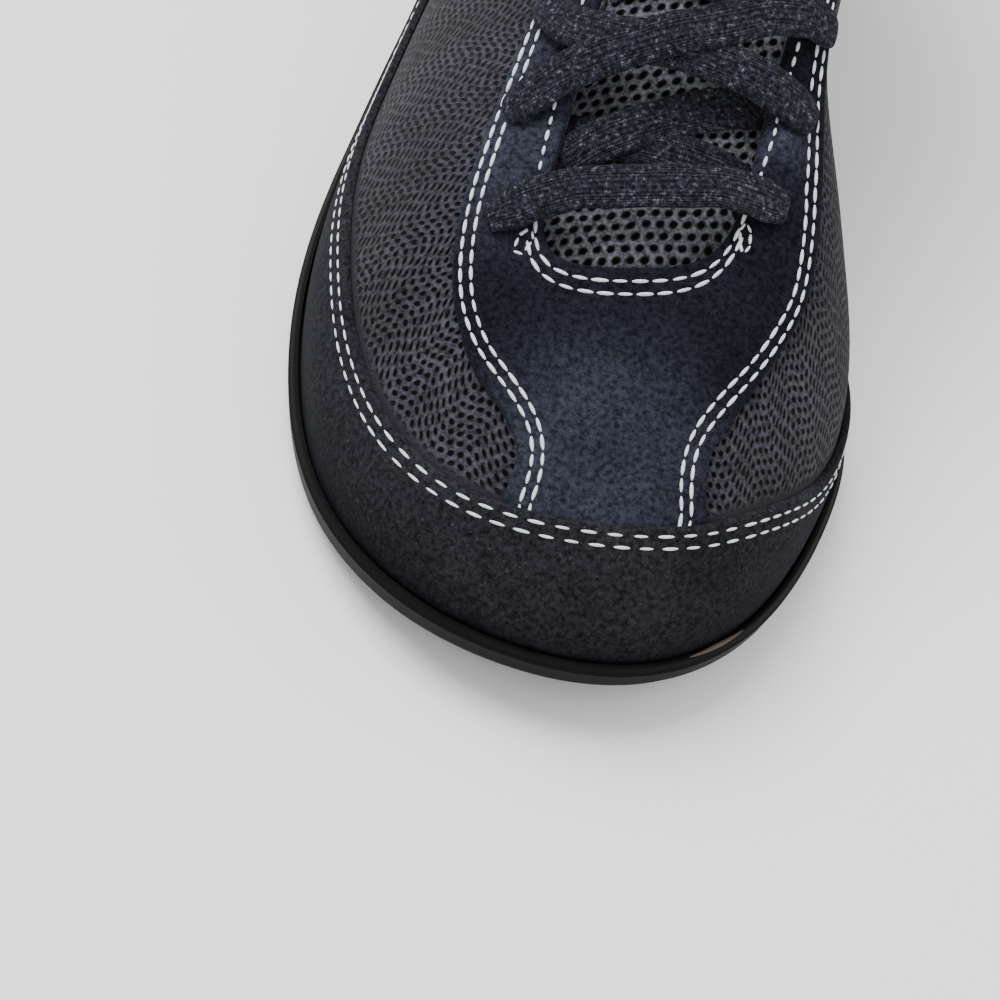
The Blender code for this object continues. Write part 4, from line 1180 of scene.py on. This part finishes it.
def makeLace():
    o, n, sag, over, under = throatRows(1), throatRows(-1), lacing["sag"], lacing["over"], lacing["under"]
    # from the bar's outer end: crosses inside, comes up, crosses over, and so on to the top
    first = overStrand(o[0], n[0], sag)[::-1]
    first += insideStrand(o[0], n[1], 0.0, bow=0.0022, **under)
    first += overStrand(o[2], n[1], sag, bow=0.0012)[::-1]
    for k in (2, 4):
        first += insideStrand(o[k], n[k + 1], 0.0, **under)
        first += overStrand(o[k + 2], n[k + 1], sag)[::-1]
    second = []
    for k in (0, 2, 4):
        second += insideStrand(o[k + 1], n[k], sag, bow=0.0 if k else 0.0010)[::-1]
        second += overStrand(o[k + 1], n[k + 2], 0.0, **over)
    work, layer = newWork()
    laceRibbon(work, layer, first)
    laceRibbon(work, layer, second, 400.0)
    nodes = ["lace_bar"] + ["lace_cross_%d" % k for k in range(1, lacing["pairs"])]
    linkPiece("flatLace", finishMesh(work, "flatLace"), [laceCloth], nodes)


makeEyelets()
makeLace()
print("eyelets and lace made")


# padded tongue: mesh cloth over a thin filling, with a rolled edge at its top
tongue = {
    "lap": 0.0100, "thick": 0.0034, "crown": 0.0032, "end": 23.0 / 3.0, "above": 0.0180, "across": 31,
    "under": 0.0006, "narrow": 0.06, "sideRound": 0.12, "endRound": 6.0, "fill": 0.5,
    "pad": 0.00021, "padPitch": 26.0, "padEdge": 0.25, "tuck": 0.0012, "tape": (0.0017, 0.0022),
}


def tongueColumns():
    depth = -(last["wall"] + tongue["under"])
    shares = np.linspace(0.0, 1.0, tongue["across"])
    rows, lifts = [], []
    for t in np.arange(0.0, tongue["end"] + 0.001, 1.0 / 9.0):
        inside = 1.0 - np.array([1.0, 0.5, 0.0]) * shareAt(t, tongue["lap"])
        outer = skinAt(np.full(3, t), inside, depth)
        inner = skinAt(np.full(3, loopRows - t), inside, depth)[::-1]
        wide = min(1.0, np.linalg.norm(inner[0] - outer[2]) / last["throatWidth"])
        up = throatUp(t)
        crown = [outer[2] + (inner[0] - outer[2]) * f + up * tongue["crown"] * wide * 4 * f * (1 - f)
                 for f in (0.2, 0.4, 0.6, 0.8)]
        rows.append(spread(catmull(np.concatenate([outer, crown, inner]), 6), shares))
        lifts.append(up)
    # beyond the throat it runs on straight, a little narrower
    run = unit((rows[-1] - rows[-4]).mean(0))
    climb = (last["collar"] - rows[-1][:, 2].max() + tongue["above"]) / max(run[2], 0.3)
    base, up = rows[-1], lifts[-1]
    middle = base.mean(0)
    for f in np.linspace(0, 1, 13)[1:]:
        rows.append(middle + (base - middle) * (1.0 - tongue["narrow"] * f**3) + run * climb * f)
        lifts.append(up)
    return np.array(rows), np.array(lifts)


def makeTongue():
    rows, lifts = tongueColumns()
    rows = rows.transpose(1, 0, 2)
    count, length = rows.shape[:2]
    normal = np.cross(np.gradient(rows, axis=0), np.gradient(rows, axis=1))
    normal /= np.maximum(np.linalg.norm(normal, axis=-1, keepdims=True), 1e-9)
    if (normal[count // 2, length // 2] * lifts[length // 2]).sum() < 0:
        normal = -normal
    u = np.concatenate([np.zeros((1, length)), np.cumsum(np.linalg.norm(np.diff(rows, axis=0), axis=-1), 0)]) * 1000
    u -= u[count // 2]
    v = np.broadcast_to(runAlong(rows[count // 2]) * 1000, u.shape)
    uv = np.stack([u, v], -1)
    # thin at the sides and the top end, with faint pads across
    edge = np.minimum(np.linspace(0, 1, count), 1 - np.linspace(0, 1, count))[:, None]
    soft = np.clip(edge / tongue["sideRound"], 0, 1)
    topEnd = np.clip((v[0][-1] - v[0]) / tongue["endRound"], 0, 1)[None, :]
    soft = np.minimum(np.sqrt(soft * (2 - soft)), np.sqrt(topEnd * (2 - topEnd)))
    waves = np.sin(v * 2 * math.pi / tongue["padPitch"]) ** 2
    pillow = tongue["pad"] * np.clip(edge / tongue["padEdge"], 0, 1) * waves
    top = rows + normal * (pillow - tongue["thick"] * 0.5 * (1 - soft))[..., None]
    under = rows - normal * (tongue["thick"] * (0.5 + 0.5 * soft))[..., None]
    work, layer = newWork()
    a = gridFaces(work, layer, top, uv)
    b = gridFaces(work, layer, under, uv, 1, flip=True)
    closeRim(work, layer, a, b, uv, 1)
    mesh = finishMesh(work, "paddedTongue")
    piece = linkPiece("paddedTongue", mesh, [tongueMesh, liningCloth], ["tongue"])
    # rolled tape round the free top; down the sides it sits a little inside, so no light shows between them
    sideIn = [rows[i] + tongue["tuck"] * unit(rows[k] - rows[i]) for i, k in ((0, 1), (-1, -2))]
    edgeRun = list(sideIn[0][-16:]) + [rows[i, -1] for i in range(1, count - 1)] + list(sideIn[1][:-17:-1])
    centre = catmull(np.array(edgeRun) - lifts[-1] * tongue["thick"] * 0.5, 2)
    tube("tongueTape", centre, np.tile(lifts[-1], (len(centre), 1)), *tongue["tape"], bindingTape, "tongue_mesh")


makeTongue()
print("tongue made")


# collar binding: folded tape over the topline behind the facings
collarBinding = {
    "wide": 0.0042, "proud": 0.0009, "sink": 0.0003, "ridge": 0.0016, "shoulder": 0.0006,
    "knots": ((1.0, None), (0.92, 0.7), (0.5, 1.2), (0.12, 1.0)),    # share of the way down, lift (None: sewn in)
}


def makeBinding():
    ts = behind(suede["eyestayEnd"] - 0.02, 220)
    down = upShare(ts, collarBinding["wide"])
    outside, inside = [], []
    for f, lift in collarBinding["knots"]:
        out = -collarBinding["sink"] if lift is None else lift * collarBinding["proud"]
        outside.append(skinAt(ts, 1 - down * f, suedeTop + out))
        inside.append(skinAt(ts, 1 - down * f, -last["wall"] - out))
    inside.reverse()
    rise = np.array([0.0, 0.0, 1.0])
    ridge = (outside[-1] + inside[0]) / 2 + collarBinding["ridge"] * rise
    shoulders = [side * 0.8 + ridge * 0.2 + collarBinding["shoulder"] * rise for side in (outside[-1], inside[0])]
    grid = np.stack(outside + [shoulders[0], ridge, shoulders[1]] + inside, 1)
    fine = np.array([catmull(column, 3) for column in grid])
    work, layer = newWork()
    tubeFaces(work, layer, fine, runAlong(fine[:, 0]) * 1000, 0.45 * fine.shape[1])
    linkPiece("collarBinding", finishMesh(work, "collarBinding"), [bindingTape])


makeBinding()


# insole: thin cloth-covered sock with rounded sides
insole = {"inset": 0.0032, "thick": 0.0030, "edge": 0.35, "round": 0.06, "lift": 0.0001}


def flatInside(t, inset):
    foot, outward = featherPoint(t)
    return foot - outward * inset + lastShift


def bothSides(ts, place):
    # a line's points on the outer side and, mirrored, on the inner side
    return place(ts), place((loopRows - ts) % loopRows)


def acrossSole(outer, inner, shares):
    return outer[:, None] + (inner - outer)[:, None] * shares[None, :, None]


def makeInsole():
    ts = np.linspace(0.0, heelRow, 100)
    shares = (1 - np.cos(np.linspace(0, math.pi, 21))) / 2
    points = acrossSole(*bothSides(ts, lambda t: flatInside(t, last["wall"] + insole["inset"])), shares)[1:-1]
    bed = featherHeight(alongOf(points[..., 1] - lastShift[1]))
    edge = np.clip(np.minimum(shares, 1 - shares) / insole["round"], 0, 1)[None, :]
    swell = insole["edge"] + (1 - insole["edge"]) * np.sqrt(edge * (2 - edge))
    top, under = points.copy(), points.copy()
    top[..., 2] = bed + insole["thick"] * swell
    under[..., 2] = bed + insole["lift"]
    uv = points[..., :2] * 1000
    work, layer = newWork()
    a = gridFaces(work, layer, top, uv)
    b = gridFaces(work, layer, under, uv, flip=True)
    closeRim(work, layer, a, b)
    linkPiece("insoleSock", finishMesh(work, "insoleSock"), [liningCloth], ["insole"])


makeInsole()
print("binding and insole made")


# outsole: moulded rim, flex grooves, and a recessed field of studs under forefoot and heel
sole = {
    "inside": 0.0021, "rim": 0.0013, "sideRise": 0.0028, "toeRise": 0.0030, "chamfer": 0.0018, "ridge": 0.0004,
    "taper": 0.0003, "seat": 0.0005, "grooveWide": 0.0018, "grooveDeep": 0.0012, "groovePitch": 0.0120,
    "grooves": ((0.630, 4), (0.100, 3)),    # share of the length at the first one, count
    "fieldInset": 0.0025, "fieldDeep": 0.0008, "studPitch": 0.0036, "studRadius": 0.00125, "studProud": 0.0002,
    "studFields": ((0.04, 0.34), (0.56, 0.955)),    # shares of the length, from the heel
}


def soleRise(t):
    away = np.minimum(t % loopRows, loopRows - t % loopRows)
    return sole["sideRise"] + (sole["toeRise"] - sole["sideRise"]) * (1 - softStep(1.0, 3.0, away))


def soleSection(t):
    inside, outside, chamfer = sole["inside"], sole["inside"] + sole["rim"], sole["chamfer"]
    ridge = outside + 1.1 * sole["ridge"]
    foot, outward = featherPoint(t)

    def level(reach, height):
        place = foot + outward * reach
        place[..., 2] = treadHeight(alongOf(place[..., 1])) + height
        return place + lastShift

    rise = upShare(t, soleRise(t))
    seat = skinAt(t, 0.0, inside)
    seat[..., 2] = foot[..., 2] - sole["seat"]
    side = [level(outside - chamfer, 0.0), level(outside - 0.45 * chamfer, 0.24 * chamfer), level(outside, chamfer)]
    side += [skinAt(t, share * rise, lift) for share, lift in (
        (0.22, outside + 0.2 * sole["ridge"]), (0.50, ridge), (0.62, ridge), (0.70, outside),
        (0.95, outside - sole["taper"]), (1.02, (outside + inside) / 2), (1.0, inside), (0.5, inside))]
    return np.stack(side + [seat], 1)


def grooveShares():
    pitch = sole["groovePitch"] / last["length"]
    return [first + pitch * k for first, count in sole["grooves"] for k in range(count)]


def makeSole():
    ts = np.linspace(0.0, heelRow, 12 * heelRow + 1)
    outer, inner = bothSides(ts, soleSection)
    shares = np.concatenate([[0.0, 0.004], np.linspace(0.0, 1.0, 15)[1:-1], [0.996, 1.0]])
    under = acrossSole(*bothSides(ts, lambda t: flatInside(t, sole["fieldInset"])), shares)
    along = alongOf(under[..., 1] - lastShift[1])
    deep = np.full(len(shares), sole["fieldDeep"])
    deep[[0, -1]] = 0.0
    under[..., 2] = treadHeight(along) + deep * softStep(0.985, 0.965, along) * softStep(0.012, 0.03, along)
    bed = acrossSole(outer[:, -1], inner[:, -1], np.array([0.25, 0.5, 0.75]))
    bed[..., 2] = featherHeight(alongOf(bed[..., 1] - lastShift[1])) - sole["seat"]
    section = np.concatenate([outer, bed, inner[:, ::-1], under[:, ::-1]], 1)
    work = bmesh.new()
    verts = [[work.verts.new(p) for p in column] for column in section]
    count = section.shape[1]
    for here, there in zip(verts[:-1], verts[1:]):
        for j in range(count):
            n = (j + 1) % count
            work.faces.new((here[j], there[j], there[n], here[n])).smooth = True
    bmesh.ops.remove_doubles(work, verts=work.verts, dist=1e-6)
    bmesh.ops.dissolve_degenerate(work, edges=work.edges, dist=1e-7)
    mesh = finishMesh(work, "soleBody")
    mesh.set_sharp_from_angle(angle=math.radians(38))
    body = linkObject("soleBody", mesh)
    cutWork = bmesh.new()
    for share in grooveShares():
        sized = Matrix.Diagonal((2.0 * last["ballWidth"], sole["grooveWide"], 2.0 * sole["grooveDeep"], 1.0))
        place = Vector((lastShift[0], (0.5 - share) * last["length"] + lastShift[1], 0.0))
        bmesh.ops.create_cube(cutWork, size=1.0, matrix=Matrix.Translation(place) @ sized)
    cutter = linkObject("grooveCutter", finishMesh(cutWork, "grooveCutter", outward=False))
    cut = body.modifiers.new("grooves", "BOOLEAN")
    cut.operation, cut.solver, cut.object = "DIFFERENCE", "EXACT", cutter
    linkPiece("outsoleBody", bakedMesh(body, "outsoleBody", cutter), [soleRubber], ["outsole"])


def insideOutline(points, outline):
    x, y = points[:, 0][:, None], points[:, 1][:, None]
    x1, y1 = outline[:, 0][None, :], outline[:, 1][None, :]
    x2, y2 = np.roll(outline[:, 0], -1)[None, :], np.roll(outline[:, 1], -1)[None, :]
    crosses = ((y1 > y) != (y2 > y)) & (x < (x2 - x1) * (y - y1) / (y2 - y1 + 1e-12) + x1)
    return crosses.sum(1) % 2 == 1


def studTree():
    tree, keys, given = openTree("studField", ("Stud Radius", "Stud Height"))
    top = mathNode(tree, "MULTIPLY", given["Stud Radius"], 1.22)
    cone = addNode(tree, "GeometryNodeMeshCone", {
        "Vertices": 6, "Radius Bottom": given["Stud Radius"], "Radius Top": top, "Depth": given["Stud Height"],
    })
    put = addNode(tree, "GeometryNodeInstanceOnPoints", {"Points": given["Places"], "Instance": cone.outputs["Mesh"]})
    closeTree(tree, put.outputs["Instances"], soleRubber)
    return tree, keys


def makeStuds():
    ts = np.linspace(0, loopRows, 220, endpoint=False)
    outline = flatInside(ts, sole["fieldInset"] + sole["studRadius"] * 1.5)[:, :2]
    step = sole["studPitch"]
    xs, ys = np.arange(-0.06, 0.06, step), np.arange(-0.15, 0.15, step * 0.866)
    points = np.array([(x + (k % 2) * step / 2, y) for k, y in enumerate(ys) for x in xs])
    along = alongOf(points[:, 1] - lastShift[1])
    inField = sum((along > low) & (along < high) for low, high in sole["studFields"]).astype(bool)
    keep = insideOutline(points, outline) & inField
    for share in grooveShares():
        keep &= np.abs(along - share) * last["length"] > sole["grooveWide"] / 2 + sole["studRadius"] * 1.25
    places = np.column_stack([points, treadHeight(along) + 0.00002])[keep]
    mesh = bpy.data.meshes.new("studPlaces")
    mesh.from_pydata([tuple(p) for p in places], [], [])
    sizes = (sole["studRadius"], sole["fieldDeep"] + sole["studProud"])
    made = runTree(linkObject("studPlaces", mesh), "soleStuds", *studTree(), sizes)
    linkPiece("soleStuds", made, [])
    print("studs", len(places))


# painted highlight: a short pale line between rand and sole beside the toe, where light catches the edge
edgeHighlight = {"from": -1.62, "to": -1.02, "thin": 0.00010, "swell": 0.00034, "bow": 0.06}


def makeEdgeHighlight():
    ts = np.linspace(edgeHighlight["from"], edgeHighlight["to"], 30)
    fade = np.sin(np.linspace(0, math.pi, 30))
    up = upShare(ts, soleRise(ts)) * (1.00 + edgeHighlight["bow"] * fade)
    path = skinAt(ts, up, 0.4 * sole["rim"] + sole["inside"])
    wide = edgeHighlight["thin"] + edgeHighlight["swell"] * fade
    tube("edgeHighlightLine", path, np.tile((0.0, 0.0, 1.0), (len(path), 1)), wide, wide, paleHighlight, "black_rubber", 8)


makeSole()
makeStuds()
makeEdgeHighlight()
print("outsole made")
